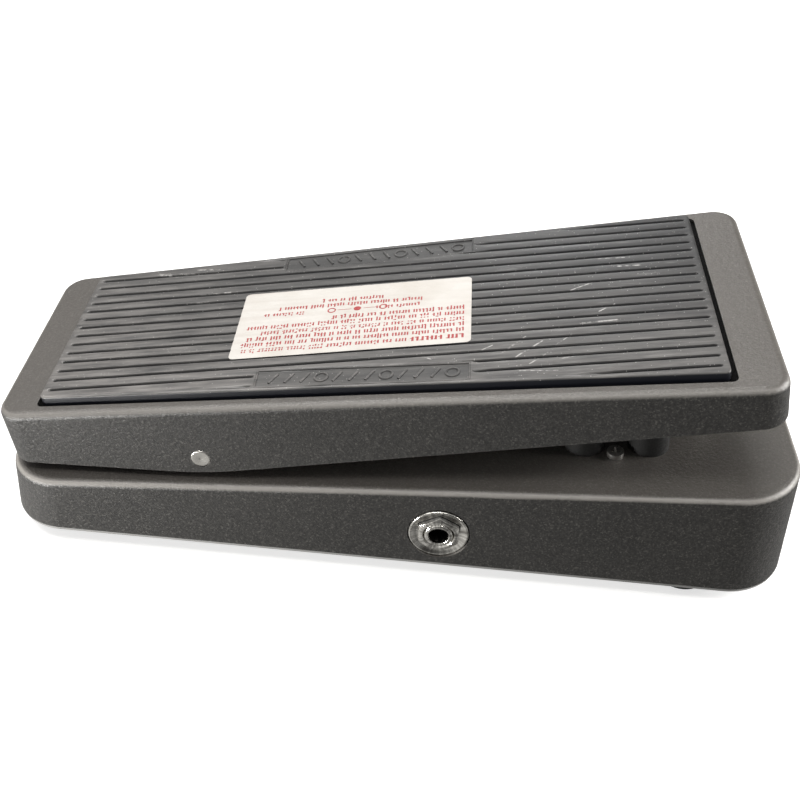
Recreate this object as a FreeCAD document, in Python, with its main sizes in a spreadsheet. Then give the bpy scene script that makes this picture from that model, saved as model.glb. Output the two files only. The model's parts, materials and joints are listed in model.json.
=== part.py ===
import FreeCAD, Part
import Sketcher
import math
import os
import re

# Rocker pedal for a guitar: a cast treadle rocks on a steel rod over a cast, sloping base.
# A rack under the treadle drives a pinion on a potentiometer, and the toe end presses a footswitch.
# Row frame, in millimetres: +X runs from the heel to the toe, +Y is the player's left, +Z is up.
# The origin is on the floor under the middle of the base, and the treadle rests heel down.

Vector = FreeCAD.Vector
Rotation = FreeCAD.Rotation
Placement = FreeCAD.Placement

UP = Vector(0, 0, 1)
DOWN = Vector(0, 0, -1)
TO_TOE = Vector(1, 0, 0)
TO_LEFT = Vector(0, 1, 0)
TO_RIGHT = Vector(0, -1, 0)

document = FreeCAD.newDocument("rocker_pedal")
sheet = document.addObject("Spreadsheet::Sheet", "Sizes")

DIMENSIONS = {
    # cast base: outline where it meets the bottom plate, deck heights at its two ends
    "base_length": 257.0,
    "base_heel_width": 92.6,
    "base_toe_width": 106.0,
    "base_heel_corner": 18.5,
    "base_toe_corner": 21.0,
    "base_draft": 3.2,
    "base_edge_radius": 2.4,
    "deck_heel_z": 25.67,
    "deck_toe_z": 46.42,
    "wall": 3.2,
    "boss_radius": 4.6,
    # bottom plate and feet
    "plate_bottom_z": 6.5,
    "plate_thickness": 1.2,
    "plate_inset": 0.3,
    "foot_radius": 10.0,
    "foot_draft": 0.8,
    "foot_recess_radius": 4.4,
    "foot_recess_depth": 3.4,
    "foot_heel_x": -100.0,
    "foot_heel_y": 28.5,
    "foot_toe_x": 96.5,
    "foot_toe_y": 37.5,
    # hinge of the treadle
    "pivot_x": -61.44,
    "pivot_z": 39.94,
    "rest_tilt": 9.77,
    "rod_radius": 3.2,
    "rod_half_length": 43.6,
    "lug_inner_y": 22.0,
    "lug_outer_y": 31.0,
    "lug_radius": 8.5,
    "bush_radius": 4.8,
    "bush_flange_radius": 7.0,
    "bush_flange": 1.2,
    "running_gap": 0.05,
    # treadle casting, in its own level frame with the hinge axis at the origin
    "treadle_heel_x": -63.5,
    "treadle_toe_x": 176.5,
    "treadle_heel_width": 79.8,
    "treadle_toe_width": 102.9,
    "treadle_corner": 8.0,
    "treadle_draft": 1.53,
    "treadle_top_z": 19.3,
    "treadle_edge_radius": 2.5,
    "treadle_wall": 3.0,
    "treadle_plate": 2.15,
    "skirt_heel_z": 0.93,
    "skirt_middle_z": -6.08,
    "skirt_toe_z": 6.08,
    "skirt_bend": 120.0,
    "treadle_boss_radius": 6.5,
    "treadle_boss_y": 32.5,
    # rubber mat let into the treadle
    "mat_heel_x": -48.9,
    "mat_toe_x": 160.3,
    "mat_heel_width": 70.3,
    "mat_toe_width": 89.5,
    "mat_corner": 2.0,
    "mat_recess": 0.9,
    "mat_gap": 1.3,
    "mat_thickness": 3.4,
    "rib_pitch": 4.83,
    "groove_width": 1.1,
    "groove_depth": 1.2,
    "groove_margin": 2.3,
    "groove_count": 18,
    # sticker on the mat
    "sticker_length": 76.7,
    "sticker_width": 36.8,
    "sticker_thickness": 0.15,
    "sticker_x": 48.0,
    "sticker_y": -3.3,
    "sticker_turn": 0.4,
    # rack, clevis and pinion
    "clevis_reach": 70.0,
    "clevis_z": 4.0,
    "clevis_pin_radius": 1.5,
    "clevis_gap": 0.3,
    "clevis_sheet": 1.5,
    "clevis_web_z": 11.65,
    "rack_width": 6.0,
    "rack_back_x": 4.0,
    "rack_root_x": 8.0,
    "rack_bottom_z": 20.5,
    "rack_tooth_top_z": 38.0,
    "rack_head_half": 4.7,
    "rack_slot_half": 1.2,
    "guide_height": 12.0,
    "gear_module": 1.0,
    "gear_teeth": 14,
    "gear_axis_x": 16.25,
    "gear_axis_z": 22.5,
    "gear_width": 5.0,
    "gear_start_y": -3.5,
    "gear_backlash": 0.3,
    "mechanism_pad_z": 32.3,
    # potentiometer
    "pot_radius": 9.6,
    "pot_length": 10.0,
    "pot_face_y": 6.6,
    "pot_shaft_radius": 3.0,
    "pot_thread_radius": 3.9,
    "pot_nut_across": 10.0,
    "bracket_sheet": 1.5,
    "bracket_plate_y": 5.0,
    # footswitch, in a frame square to the deck with its origin on the deck
    "switch_x": 98.0,
    "switch_thread_radius": 6.0,
    "switch_bore_radius": 4.05,
    "switch_plunger_radius": 4.0,
    "switch_cap_radius": 5.5,
    "switch_thread_top": 8.0,
    "switch_cap_bottom": 11.5,
    "switch_cap_top": 14.9,
    "switch_body_side": 17.0,
    "switch_body_height": 19.0,
    "switch_nut_across": 14.0,
    "switch_nut_height": 2.6,
    # phone jacks, one in each side wall
    "jack_x": 14.5,
    "jack_z": 20.3,
    "jack_seat_y": 48.5,
    "jack_body_y": 45.1,
    "jack_bore_radius": 3.25,
    "jack_thread_radius": 4.75,
    "jack_thread_end_y": 50.6,
    "jack_body_width": 16.0,
    "jack_body_height": 14.0,
    "jack_body_depth": 24.6,
    "jack_cavity_radius": 4.2,
    "jack_washer_radius": 9.65,
    "jack_washer_thickness": 0.6,
    "jack_nut_across": 12.7,
    "jack_nut_height": 1.3,
    # power inlet in the left wall
    "inlet_x": 46.0,
    "inlet_z": 20.0,
    "inlet_thread_radius": 4.0,
    "inlet_bore_radius": 2.8,
    "inlet_pin_radius": 1.05,
    "inlet_body_radius": 5.6,
    "inlet_body_depth": 11.0,
    "inlet_nut_across": 11.0,
    "inlet_nut_height": 2.0,
    # circuit board hung under the heel half of the deck
    "board_heel_x": -90.0,
    "board_toe_x": -20.0,
    "board_half_width": 30.0,
    "board_bottom_z": 19.0,
    "board_thickness": 1.6,
    "board_post_inset": 4.0,
    "board_post_radius": 3.2,
    # battery and its strap
    "battery_x": 68.9,
    "battery_thickness": 26.5,
    "battery_height": 17.5,
    "battery_length": 48.5,
    "battery_bottom_z": 18.0,
    "strap_width": 12.0,
    "strap_sheet": 0.8,
    "strap_screw_y": 29.5,
    # rubber stops on the deck
    "stop_toe_radius": 6.6,
    "stop_toe_front_height": 15.9,
    "stop_toe_back_height": 17.2,
    "stop_toe_front_x": 79.8,
    "stop_toe_back_x": 59.6,
    "stop_toe_y": 24.0,
    "stop_heel_radius": 6.0,
    "stop_heel_height": 20.6,
    "stop_heel_x": -112.0,
    "stop_heel_y": 22.0,
    # screws and wires
    "screw_gap": 0.1,
    "screw_slot": 0.7,
    "small_screw_radius": 1.5,
    "small_head_radius": 2.7,
    "small_head_height": 1.8,
    "large_screw_radius": 2.0,
    "large_head_radius": 3.7,
    "large_head_height": 2.4,
    "wire_radius": 0.6,
}

for row, (alias, value) in enumerate(DIMENSIONS.items(), start=1):
    sheet.set("A%d" % row, alias)
    sheet.set("B%d" % row, str(value))
    sheet.setAlias("B%d" % row, alias)
document.recompute()

pieces = []
WORD = re.compile(r"[a-z][a-z0-9_]*")


def size(alias):
    """A driving dimension, read back from the sheet."""
    return float(sheet.get(alias))


def cells(expression):
    """Point each dimension word of an expression at its cell."""
    def cell(match):
        word = match.group(0)
        return "Sizes." + word if word in DIMENSIONS else word
    return WORD.sub(cell, expression)


def bind(thing, **expressions):
    """Bind properties of a document object to the sheet."""
    for name, expression in expressions.items():
        thing.setExpression(name, cells(str(expression)))
    return thing


# ---------------------------------------------------------------- primitives and booleans

def place(thing, at=(0, 0, 0), along=UP, spin=0.0):
    """Put an object at a point, with its own Z along a direction and turned about that Z."""
    turn = Rotation(UP, along).multiply(Rotation(UP, spin))
    thing.Placement = Placement(Vector(*at), turn)
    return thing


def rod(name, radius, length, at=(0, 0, 0), along=UP):
    thing = document.addObject("Part::Cylinder", name)
    bind(thing, Radius=radius, Height=length)
    return place(thing, at, along)


def cone(name, start_radius, end_radius, length, at=(0, 0, 0), along=UP):
    thing = document.addObject("Part::Cone", name)
    bind(thing, Radius1=start_radius, Radius2=end_radius, Height=length)
    return place(thing, at, along)


def block(name, length, width, height, corner=(0, 0, 0)):
    thing = document.addObject("Part::Box", name)
    bind(thing, Length=length, Width=width, Height=height)
    return place(thing, corner)


def hexagon(name, across, height, at=(0, 0, 0), along=UP, spin=0.0):
    """A hexagonal prism, given across its flats."""
    thing = document.addObject("Part::Prism", name)
    thing.Polygon = 6
    bind(thing, Circumradius="(%s) / sqrt(3)" % across, Height=height)
    return place(thing, at, along, spin)


def cut(name, base, tool):
    thing = document.addObject("Part::Cut", name)
    thing.Base = base
    thing.Tool = tool
    return thing


def fuse(name, parts):
    thing = document.addObject("Part::MultiFuse", name)
    thing.Shapes = parts
    return thing


def group(name, parts):
    """Separate solids kept side by side in one piece."""
    thing = document.addObject("Part::Compound", name)
    thing.Links = parts
    return thing


def piece(thing, label, frame=None):
    """Register a finished piece, moved into the frame of the assembly it belongs to."""
    thing.Label = label
    if frame is not None:
        thing.Placement = frame.multiply(thing.Placement)
    pieces.append(thing)
    return thing


# ---------------------------------------------------------------- bodies from sketches

def new_body(name):
    return document.addObject("PartDesign::Body", name)


def sketch_on(body, role, name, offset="0"):
    """A sketch on one of the body's own origin planes, lifted along its normal."""
    sketch = body.newObject("Sketcher::SketchObject", body.Name + "_" + name)
    plane = [item for item in body.Origin.OriginFeatures if item.Role == role][0]
    sketch.AttachmentSupport = (plane, [""])
    sketch.MapMode = "FlatFace"
    sketch.setExpression("AttachmentOffset.Base.z", cells(offset))
    return sketch


def pin_point(sketch, geometry, point, x, y):
    """Hold a point of a sketch at an (x, y) taken from the sheet."""
    here = sketch.getPoint(geometry, point)
    for kind, expression, value, axis in (("DistanceX", x, here.x, -2), ("DistanceY", y, here.y, -1)):
        if expression == "0":
            sketch.addConstraint(Sketcher.Constraint("PointOnObject", geometry, point, axis))
            continue
        index = sketch.addConstraint(Sketcher.Constraint(kind, -1, 1, geometry, point, value))
        label = "%s_%d_%d" % (kind, geometry, point)
        sketch.renameConstraint(index, label)
        sketch.setExpression("Constraints." + label, cells(expression))


def draw_polygon(sketch, corners):
    """A closed outline with straight sides."""
    count = len(corners)
    first = sketch.GeometryCount
    ring = []
    for number in range(count):
        angle = 2 * math.pi * number / count
        ring.append(Vector(20 * math.cos(angle), 20 * math.sin(angle), 0))
    for number in range(count):
        sketch.addGeometry(Part.LineSegment(ring[number], ring[(number + 1) % count]))
    for number in range(count):
        following = first + (number + 1) % count
        sketch.addConstraint(Sketcher.Constraint("Coincident", first + number, 2, following, 1))
    for number, (x, y) in enumerate(corners):
        pin_point(sketch, first + number, 1, x, y)


def draw_circle(sketch, x, y, radius):
    index = sketch.addGeometry(Part.Circle(Vector(5, 5, 0), UP, 2))
    pin_point(sketch, index, 3, x, y)
    constraint = sketch.addConstraint(Sketcher.Constraint("Radius", index, 2))
    label = "radius_%d" % index
    sketch.renameConstraint(constraint, label)
    sketch.setExpression("Constraints." + label, cells(radius))


def pad(body, sketch, length, taper="0", downwards=False):
    feature = body.newObject("PartDesign::Pad", sketch.Name + "_pad")
    feature.Profile = sketch
    feature.Reversed = downwards
    bind(feature, Length=length, TaperAngle=taper)
    document.recompute()
    return feature


def pocket(body, sketch, length, taper="0", both_ways=False):
    """Cut a sketch into the body against the sketch's normal, and check that it removed material."""
    before = body.Shape.Volume
    feature = body.newObject("PartDesign::Pocket", sketch.Name + "_pocket")
    feature.Profile = sketch
    feature.Midplane = both_ways
    bind(feature, Length=length, TaperAngle=taper)
    document.recompute()
    if body.Shape.Volume > before - 1:
        raise RuntimeError(feature.Name + " cut nothing")
    return feature


def fillet(body, radius, test):
    """Round the edges of the body's last feature that pass a test."""
    tip = body.Tip
    names = ["Edge%d" % number for number, edge in enumerate(tip.Shape.Edges, start=1) if test(edge)]
    feature = body.newObject("PartDesign::Fillet", tip.Name + "_fillet")
    feature.Base = (tip, names)
    bind(feature, Radius=radius)
    document.recompute()
    return feature


def is_upright(edge):
    """A straight edge that climbs steeply."""
    low, high = edge.BoundBox.ZMin, edge.BoundBox.ZMax
    spread = max(edge.BoundBox.XLength, edge.BoundBox.YLength)
    return len(edge.Vertexes) == 2 and high - low > 4 * spread


def trapezium(heel_x, toe_x, heel_width, toe_width):
    """Corners of an outline that is narrower at the heel than at the toe."""
    return [
        (heel_x, "-(%s) / 2" % heel_width),
        (toe_x, "-(%s) / 2" % toe_width),
        (toe_x, "(%s) / 2" % toe_width),
        (heel_x, "(%s) / 2" % heel_width),
    ]


# ---------------------------------------------------------------- frames of the assembly

def deck_height(x):
    """Height of the sloping deck's upper face."""
    rise = size("deck_toe_z") - size("deck_heel_z")
    return size("deck_heel_z") + rise * (x / size("base_length") + 0.5)


deck_slope = math.degrees(math.atan2(size("deck_toe_z") - size("deck_heel_z"), size("base_length")))
treadle_frame = Placement(
    Vector(size("pivot_x"), 0, size("pivot_z")), Rotation(TO_LEFT, -size("rest_tilt")))


def deck_frame(x, y):
    """A frame on the deck with its Z square to the deck."""
    return Placement(Vector(x, y, deck_height(x)), Rotation(TO_LEFT, -deck_slope))


DECK_Z = "deck_heel_z + (deck_toe_z - deck_heel_z) * (%s / base_length + 0.5)"


# ---------------------------------------------------------------- base casting

def wedge(name, inset, top_inset, corner_inset):
    """A drafted block with rounded corners under the sloping deck plane."""
    body = new_body(name)
    outline = sketch_on(body, "XY_Plane", "outline", "plate_bottom_z + plate_thickness")
    draw_polygon(outline, trapezium(
        "-base_length / 2 + %s" % inset, "base_length / 2 - %s" % inset,
        "base_heel_width - 2 * %s" % inset, "base_toe_width - 2 * %s" % inset))
    pad(body, outline, "deck_toe_z", "-base_draft")
    slope = sketch_on(body, "XZ_Plane", "slope")
    draw_polygon(slope, [
        ("-base_length / 2", "deck_heel_z - %s" % top_inset),
        ("base_length / 2", "deck_toe_z - %s" % top_inset),
        ("base_length / 2", "deck_toe_z * 2"),
        ("-base_length / 2", "deck_toe_z * 2"),
    ])
    pocket(body, slope, "base_toe_width * 2", both_ways=True)
    fillet(body, "base_heel_corner - %s" % corner_inset,
           lambda edge: is_upright(edge) and edge.CenterOfMass.x < 0)
    fillet(body, "base_toe_corner - %s" % corner_inset,
           lambda edge: is_upright(edge) and edge.CenterOfMass.x > 0)
    return body


def on_deck_plane(edge):
    """An edge that lies in the sloping deck plane."""
    return all(abs(point.Point.z - deck_height(point.Point.x)) < 0.01 for point in edge.Vertexes)


def foot_places():
    for x, y in ((size("foot_heel_x"), size("foot_heel_y")), (size("foot_toe_x"), size("foot_toe_y"))):
        yield x, -y
        yield x, y


def board_posts():
    inset = size("board_post_inset")
    for x in (size("board_heel_x") + inset, size("board_toe_x") - inset):
        for side in (-1, 1):
            yield x, side * (size("board_half_width") - inset)


def guide_screws():
    """Screws that hold the rack guide, under the deck."""
    x = size("rack_back_x") - 6.5
    return [(x, -5.0), (x, 5.0)]


def bracket_screws():
    """Screws that hold the potentiometer's bracket, under the deck."""
    return [(size("gear_axis_x") + step, -9.0) for step in (-2.0, 7.0)]


def base_solids():
    """Everything cast in one with the base's shell."""
    outer = wedge("base_outer", "0", "0", "0")
    fillet(outer, "base_edge_radius", on_deck_plane)
    inner = wedge("base_inner", "wall", "wall", "wall")
    solids = [cut("base_shell", outer, inner)]
    floor = size("plate_bottom_z") + size("plate_thickness")
    for number, (x, y) in enumerate(foot_places()):
        solids.append(rod("foot_boss_%d" % number, "boss_radius",
                          (DECK_Z % x) + " - wall / 2 - plate_bottom_z - plate_thickness",
                          (x, y, floor)))
    board_top = size("board_bottom_z") + size("board_thickness")
    for number, (x, y) in enumerate(board_posts()):
        solids.append(rod("board_post_%d" % number, "board_post_radius",
                          (DECK_Z % x) + " - wall / 2 - board_bottom_z - board_thickness",
                          (x, y, board_top)))
    solids.append(block("mechanism_pad", "34", "32", "3", (-6, -16, size("mechanism_pad_z"))))
    lug_width = "lug_outer_y - lug_inner_y"
    for side, name in ((-1, "right"), (1, "left")):
        low_y = size("lug_inner_y") if side > 0 else -size("lug_outer_y")
        x = size("pivot_x")
        solids.append(rod("lug_eye_" + name, "lug_radius", lug_width,
                          (x, low_y, size("pivot_z")), TO_LEFT))
        bottom = deck_height(x) - size("wall")
        solids.append(block("lug_post_" + name, "2 * lug_radius", lug_width,
                            "pivot_z - (%s) + wall" % (DECK_Z % "pivot_x"),
                            (x - size("lug_radius"), low_y, bottom)))
    return solids


def base_holes():
    """Everything drilled or milled out of the base."""
    holes = []
    for number, (x, y) in enumerate(foot_places()):
        holes.append(rod("foot_hole_%d" % number, "large_screw_radius + screw_gap", "14", (x, y, 5)))
    for number, (x, y) in enumerate(board_posts()):
        holes.append(rod("board_hole_%d" % number, "small_screw_radius + screw_gap", "6",
                         (x, y, size("board_bottom_z"))))
    for number, (x, y) in enumerate(guide_screws() + bracket_screws()):
        holes.append(rod("pad_hole_%d" % number, "small_screw_radius + screw_gap", "4",
                         (x, y, size("mechanism_pad_z") - 1)))
    holes.append(block("rack_way", "rack_root_x - rack_back_x + 4.2", "rack_width + 2", "20",
                       (size("rack_back_x") - 0.8, -size("rack_width") / 2 - 1, 25)))
    switch_hole = rod("switch_way", "switch_thread_radius + screw_gap", "20", (0, 0, -12))
    switch_hole.Placement = deck_frame(size("switch_x"), 0).multiply(switch_hole.Placement)
    holes.append(switch_hole)
    holes.append(rod("hinge_way", "bush_radius + 0.02", "4 * lug_outer_y",
                     (size("pivot_x"), -2 * size("lug_outer_y"), size("pivot_z")), TO_LEFT))
    for side, name in ((-1, "right"), (1, "left")):
        outwards = TO_LEFT if side > 0 else TO_RIGHT
        seat = (size("jack_x"), side * size("jack_seat_y"), size("jack_z"))
        holes.append(rod("jack_seat_" + name, "jack_washer_radius + 0.4", "6", seat, outwards))
        start = (size("jack_x"), side * 40, size("jack_z"))
        holes.append(rod("jack_way_" + name, "jack_thread_radius + screw_gap", "12", start, outwards))
        strap_hole = rod("strap_hole_" + name, "small_screw_radius + screw_gap", "10", (0, 0, -7))
        drill = deck_frame(size("battery_x"), side * size("strap_screw_y"))
        strap_hole.Placement = drill.multiply(strap_hole.Placement)
        holes.append(strap_hole)
    holes.append(rod("inlet_seat", "inlet_nut_across / 2 + 1.6", "6",
                     (size("inlet_x"), size("jack_seat_y") + 0.8, size("inlet_z")), TO_LEFT))
    holes.append(rod("inlet_way", "inlet_thread_radius + screw_gap", "12",
                     (size("inlet_x"), 42, size("inlet_z")), TO_LEFT))
    return holes


def base_housing():
    solid = fuse("base_solids", base_solids())
    piece(cut("base_housing", solid, fuse("base_holes", base_holes())), "base_housing")


def bottom_plate():
    body = new_body("bottom_plate")
    outline = sketch_on(body, "XY_Plane", "outline", "plate_bottom_z")
    inset = "plate_inset"
    draw_polygon(outline, trapezium(
        "-base_length / 2 + %s" % inset, "base_length / 2 - %s" % inset,
        "base_heel_width - 2 * %s" % inset, "base_toe_width - 2 * %s" % inset))
    pad(body, outline, "plate_thickness")
    for radius, side in (("base_heel_corner", -1), ("base_toe_corner", 1)):
        fillet(body, radius + " - plate_inset",
               lambda edge: is_upright(edge) and edge.CenterOfMass.x * side > 0)
    drill = sketch_on(body, "XY_Plane", "drill", "plate_bottom_z + plate_thickness")
    for x, y in (("foot_heel_x", "foot_heel_y"), ("foot_toe_x", "foot_toe_y")):
        draw_circle(drill, x, y, "large_screw_radius + screw_gap")
        draw_circle(drill, x, "-" + y, "large_screw_radius + screw_gap")
    pocket(body, drill, "plate_thickness * 2")
    piece(body, "bottom_plate")


def rubber_feet():
    feet = []
    for number, (x, y) in enumerate(foot_places()):
        name = "foot_%d" % number
        cup = cone(name + "_cup", "foot_radius - foot_draft", "foot_radius", "plate_bottom_z", (x, y, 0))
        recess = rod(name + "_recess", "foot_recess_radius", "foot_recess_depth", (x, y, 0))
        hole = rod(name + "_hole", "large_screw_radius + screw_gap", "plate_bottom_z", (x, y, 0))
        feet.append(cut(name, cup, fuse(name + "_drill", [recess, hole])))
    piece(group("rubber_feet", feet), "rubber_feet")


# ---------------------------------------------------------------- screws and nuts

def screw(name, kind, length, at, along=UP):
    """A pan-head screw with a cross recess: its head's seat is at the point, its shank goes along."""
    radius = size(kind + "_head_radius")
    height = size(kind + "_head_height")
    shank = rod(name + "_shank", kind + "_screw_radius", length)
    head = rod(name + "_head", kind + "_head_radius", kind + "_head_height", (0, 0, 0), DOWN)
    slots = []
    for turn in (0, 90):
        slot = block("%s_slot_%d" % (name, turn), kind + "_head_radius * 1.2", "screw_slot",
                     kind + "_head_height * 0.6")
        corner = Vector(-0.6 * radius, -size("screw_slot") / 2, -height)
        slot.Placement = Placement(Vector(), Rotation(UP, turn)).multiply(Placement(corner, Rotation()))
        slots.append(slot)
    blank = fuse(name + "_blank", [shank, head])
    return place(cut(name, blank, fuse(name + "_cross", slots)), at, along)


def screw_set(label, kind, seats, length, frame=None):
    """Identical upright screws, one at each seat."""
    screws = [screw("%s_%d" % (label, number), kind, length, at) for number, at in enumerate(seats)]
    piece(group(label, screws), label, frame)


def foot_screws():
    seat = size("foot_recess_depth")
    screw_set("foot_screws", "large", [(x, y, seat) for x, y in foot_places()], 14)


def nut(name, across, height, bore, at, along, spin=0.0):
    """A hexagonal nut with its outer corners turned off."""
    blank = hexagon(name + "_blank", across, height)
    turned = cone(name + "_turned", "(%s) * 0.62" % across, "(%s) * 0.5" % across, height)
    rounded = document.addObject("Part::Common", name + "_rounded")
    rounded.Base = blank
    rounded.Tool = turned
    hole = rod(name + "_bore", bore, "(%s) + 4" % height, (0, 0, -2))
    return place(cut(name, rounded, hole), at, along, spin)


def ring(name, outer, inner, height, at, along=UP):
    rim = rod(name + "_rim", outer, height)
    hole = rod(name + "_bore", inner, height)
    return place(cut(name, rim, hole), at, along)


# ---------------------------------------------------------------- treadle casting and mat

def treadle_casting():
    body = new_body("treadle_casting")
    outline = sketch_on(body, "XY_Plane", "outline", "treadle_top_z")
    draw_polygon(outline, trapezium(
        "treadle_heel_x", "treadle_toe_x", "treadle_heel_width", "treadle_toe_width"))
    pad(body, outline, "treadle_top_z + 10", "treadle_draft", downwards=True)
    fillet(body, "treadle_corner", is_upright)
    skirt = sketch_on(body, "XZ_Plane", "skirt")
    slope_heel = "(skirt_heel_z - skirt_middle_z) / treadle_heel_x"
    slope_toe = "(skirt_toe_z - skirt_middle_z) / treadle_toe_x"
    draw_polygon(skirt, [
        ("treadle_heel_x * 1.2", "skirt_middle_z + treadle_heel_x * 1.2 * %s" % slope_heel),
        ("0", "skirt_middle_z"),
        ("treadle_toe_x * 1.1", "skirt_middle_z + treadle_toe_x * 1.1 * %s" % slope_toe),
        ("treadle_toe_x * 1.1", "-30"),
        ("treadle_heel_x * 1.2", "-30"),
    ])
    pocket(body, skirt, "treadle_toe_width * 2", both_ways=True)
    fillet(body, "skirt_bend", is_skirt_apex)
    hollow = sketch_on(body, "XY_Plane", "hollow", "treadle_top_z - treadle_plate")
    draw_polygon(hollow, trapezium(
        "treadle_heel_x + treadle_wall", "treadle_toe_x - treadle_wall",
        "treadle_heel_width - 2 * treadle_wall", "treadle_toe_width - 2 * treadle_wall"))
    pocket(body, hollow, "treadle_top_z + 20", "treadle_draft")
    fillet(body, "treadle_corner - treadle_wall", is_inner_corner)
    recess = sketch_on(body, "XY_Plane", "recess", "treadle_top_z")
    draw_polygon(recess, trapezium(
        "mat_heel_x - mat_gap", "mat_toe_x + 1.5 * mat_gap",
        "mat_heel_width + 2 * mat_gap", "mat_toe_width + 2 * mat_gap"))
    pocket(body, recess, "mat_recess")
    fillet(body, "mat_corner", is_recess_corner)
    fillet(body, "treadle_edge_radius", is_treadle_rim)
    return body


def is_skirt_apex(edge):
    """The crease across the skirt under the hinge."""
    middle = edge.CenterOfMass
    return abs(middle.z - size("skirt_middle_z")) < 0.01 and abs(middle.x) < 0.01


def is_inner_corner(edge):
    """An upright corner of the hollow."""
    if not is_upright(edge):
        return False
    top = size("treadle_top_z") - size("treadle_plate")
    return abs(edge.BoundBox.ZMax - top) < 0.01


def is_recess_corner(edge):
    """A corner of the recess for the mat."""
    short = abs(edge.BoundBox.ZLength - size("mat_recess")) < 0.01
    return is_upright(edge) and short and edge.BoundBox.ZMax > size("treadle_top_z") - 0.01


def is_treadle_rim(edge):
    """The outer rim of the treadle's upper face."""
    box = edge.BoundBox
    top = size("treadle_top_z")
    if box.ZMin < top - 0.01 or box.ZMax > top + 0.01:
        return False
    middle = edge.CenterOfMass
    along = (middle.x - size("treadle_heel_x")) / (size("treadle_toe_x") - size("treadle_heel_x"))
    width = size("treadle_heel_width") + along * (size("treadle_toe_width") - size("treadle_heel_width"))
    at_side = abs(middle.y) > width / 2 - 2.8
    at_end = middle.x < size("treadle_heel_x") + 4 or middle.x > size("treadle_toe_x") - 4
    return at_side or at_end


def clevis_screw_places():
    return [(size("clevis_reach"), side * 10.0) for side in (-1, 1)]


def treadle_shell():
    """The casting with its hinge bosses and the two posts for the clevis."""
    solids = [treadle_casting()]
    holes = []
    ceiling = size("treadle_top_z") - size("treadle_plate")
    for side, name in ((-1, "right"), (1, "left")):
        outwards = TO_LEFT if side > 0 else TO_RIGHT
        solids.append(rod("hinge_boss_" + name, "treadle_boss_radius", "8",
                          (0, side * size("treadle_boss_y"), 0), outwards))
        y = clevis_screw_places()[0 if side < 0 else 1][1]
        web_top = size("clevis_web_z") + size("clevis_sheet")
        solids.append(rod("clevis_post_" + name, "4.2", str(ceiling - web_top + 0.5),
                          (size("clevis_reach"), y, web_top)))
        holes.append(rod("clevis_hole_" + name, "small_screw_radius + screw_gap", "5.5",
                         (size("clevis_reach"), y, web_top - 1)))
    holes.append(rod("rod_way", "rod_radius + 0.01", "4 * rod_half_length",
                     (0, -2 * size("rod_half_length"), 0), TO_LEFT))
    solid = fuse("treadle_solids", solids)
    piece(cut("treadle_shell", solid, fuse("treadle_holes", holes)), "treadle_shell", treadle_frame)


def tread_mat():
    """The ribbed rubber mat: a tapered slab with parallel grooves along it."""
    body = new_body("tread_mat")
    outline = sketch_on(body, "XY_Plane", "outline", "treadle_top_z - mat_recess")
    draw_polygon(outline, trapezium("mat_heel_x", "mat_toe_x", "mat_heel_width", "mat_toe_width"))
    pad(body, outline, "mat_thickness")
    fillet(body, "mat_corner", is_upright)
    groove = sketch_on(body, "XY_Plane", "groove", "treadle_top_z - mat_recess + mat_thickness")
    first = "-rib_pitch * (groove_count - 1) / 2"
    draw_polygon(groove, [
        ("mat_heel_x + groove_margin", first + " - groove_width / 2"),
        ("mat_toe_x - groove_margin", first + " - groove_width / 2"),
        ("mat_toe_x - groove_margin", first + " + groove_width / 2"),
        ("mat_heel_x + groove_margin", first + " + groove_width / 2"),
    ])
    cutter = pocket(body, groove, "groove_depth")
    before = body.Shape.Volume
    pattern = body.newObject("PartDesign::LinearPattern", "tread_mat_ribs")
    pattern.Originals = [cutter]
    pattern.Direction = (groove, ["V_Axis"])
    bind(pattern, Length="rib_pitch * (groove_count - 1)", Occurrences="groove_count")
    body.Tip = pattern
    document.recompute()
    if body.Shape.Volume > before - 1:
        raise RuntimeError("the mat's grooves cut nothing")
    piece(body, "tread_mat", treadle_frame)


def notice_sticker():
    top = size("treadle_top_z") - size("mat_recess") + size("mat_thickness")
    label = block("notice_sticker", "sticker_length", "sticker_width", "sticker_thickness")
    turn = Placement(Vector(size("sticker_x"), size("sticker_y"), top), Rotation(UP, size("sticker_turn")))
    corner = Vector(-size("sticker_length") / 2, -size("sticker_width") / 2, 0)
    label.Placement = turn.multiply(Placement(corner, Rotation()))
    piece(label, "notice_sticker", treadle_frame)


# ---------------------------------------------------------------- hinge

def hinge_parts():
    pivot = rod("pivot_rod", "rod_radius", "2 * rod_half_length",
                (0, -size("rod_half_length"), 0), TO_LEFT)
    piece(pivot, "pivot_rod", treadle_frame)
    for side, name in ((-1, "right"), (1, "left")):
        inwards = TO_RIGHT if side > 0 else TO_LEFT
        label = "pivot_bush_" + name
        sleeve = rod(label + "_sleeve", "bush_radius", "lug_outer_y - lug_inner_y")
        flange = rod(label + "_flange", "bush_flange_radius", "bush_flange", (0, 0, 0), DOWN)
        bore = rod(label + "_bore", "rod_radius + running_gap", "30", (0, 0, -5))
        bush = cut(label, fuse(label + "_blank", [sleeve, flange]), bore)
        at = (size("pivot_x"), side * size("lug_outer_y"), size("pivot_z"))
        piece(place(bush, at, inwards), label)


# ---------------------------------------------------------------- rack, clevis and pinion

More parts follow.
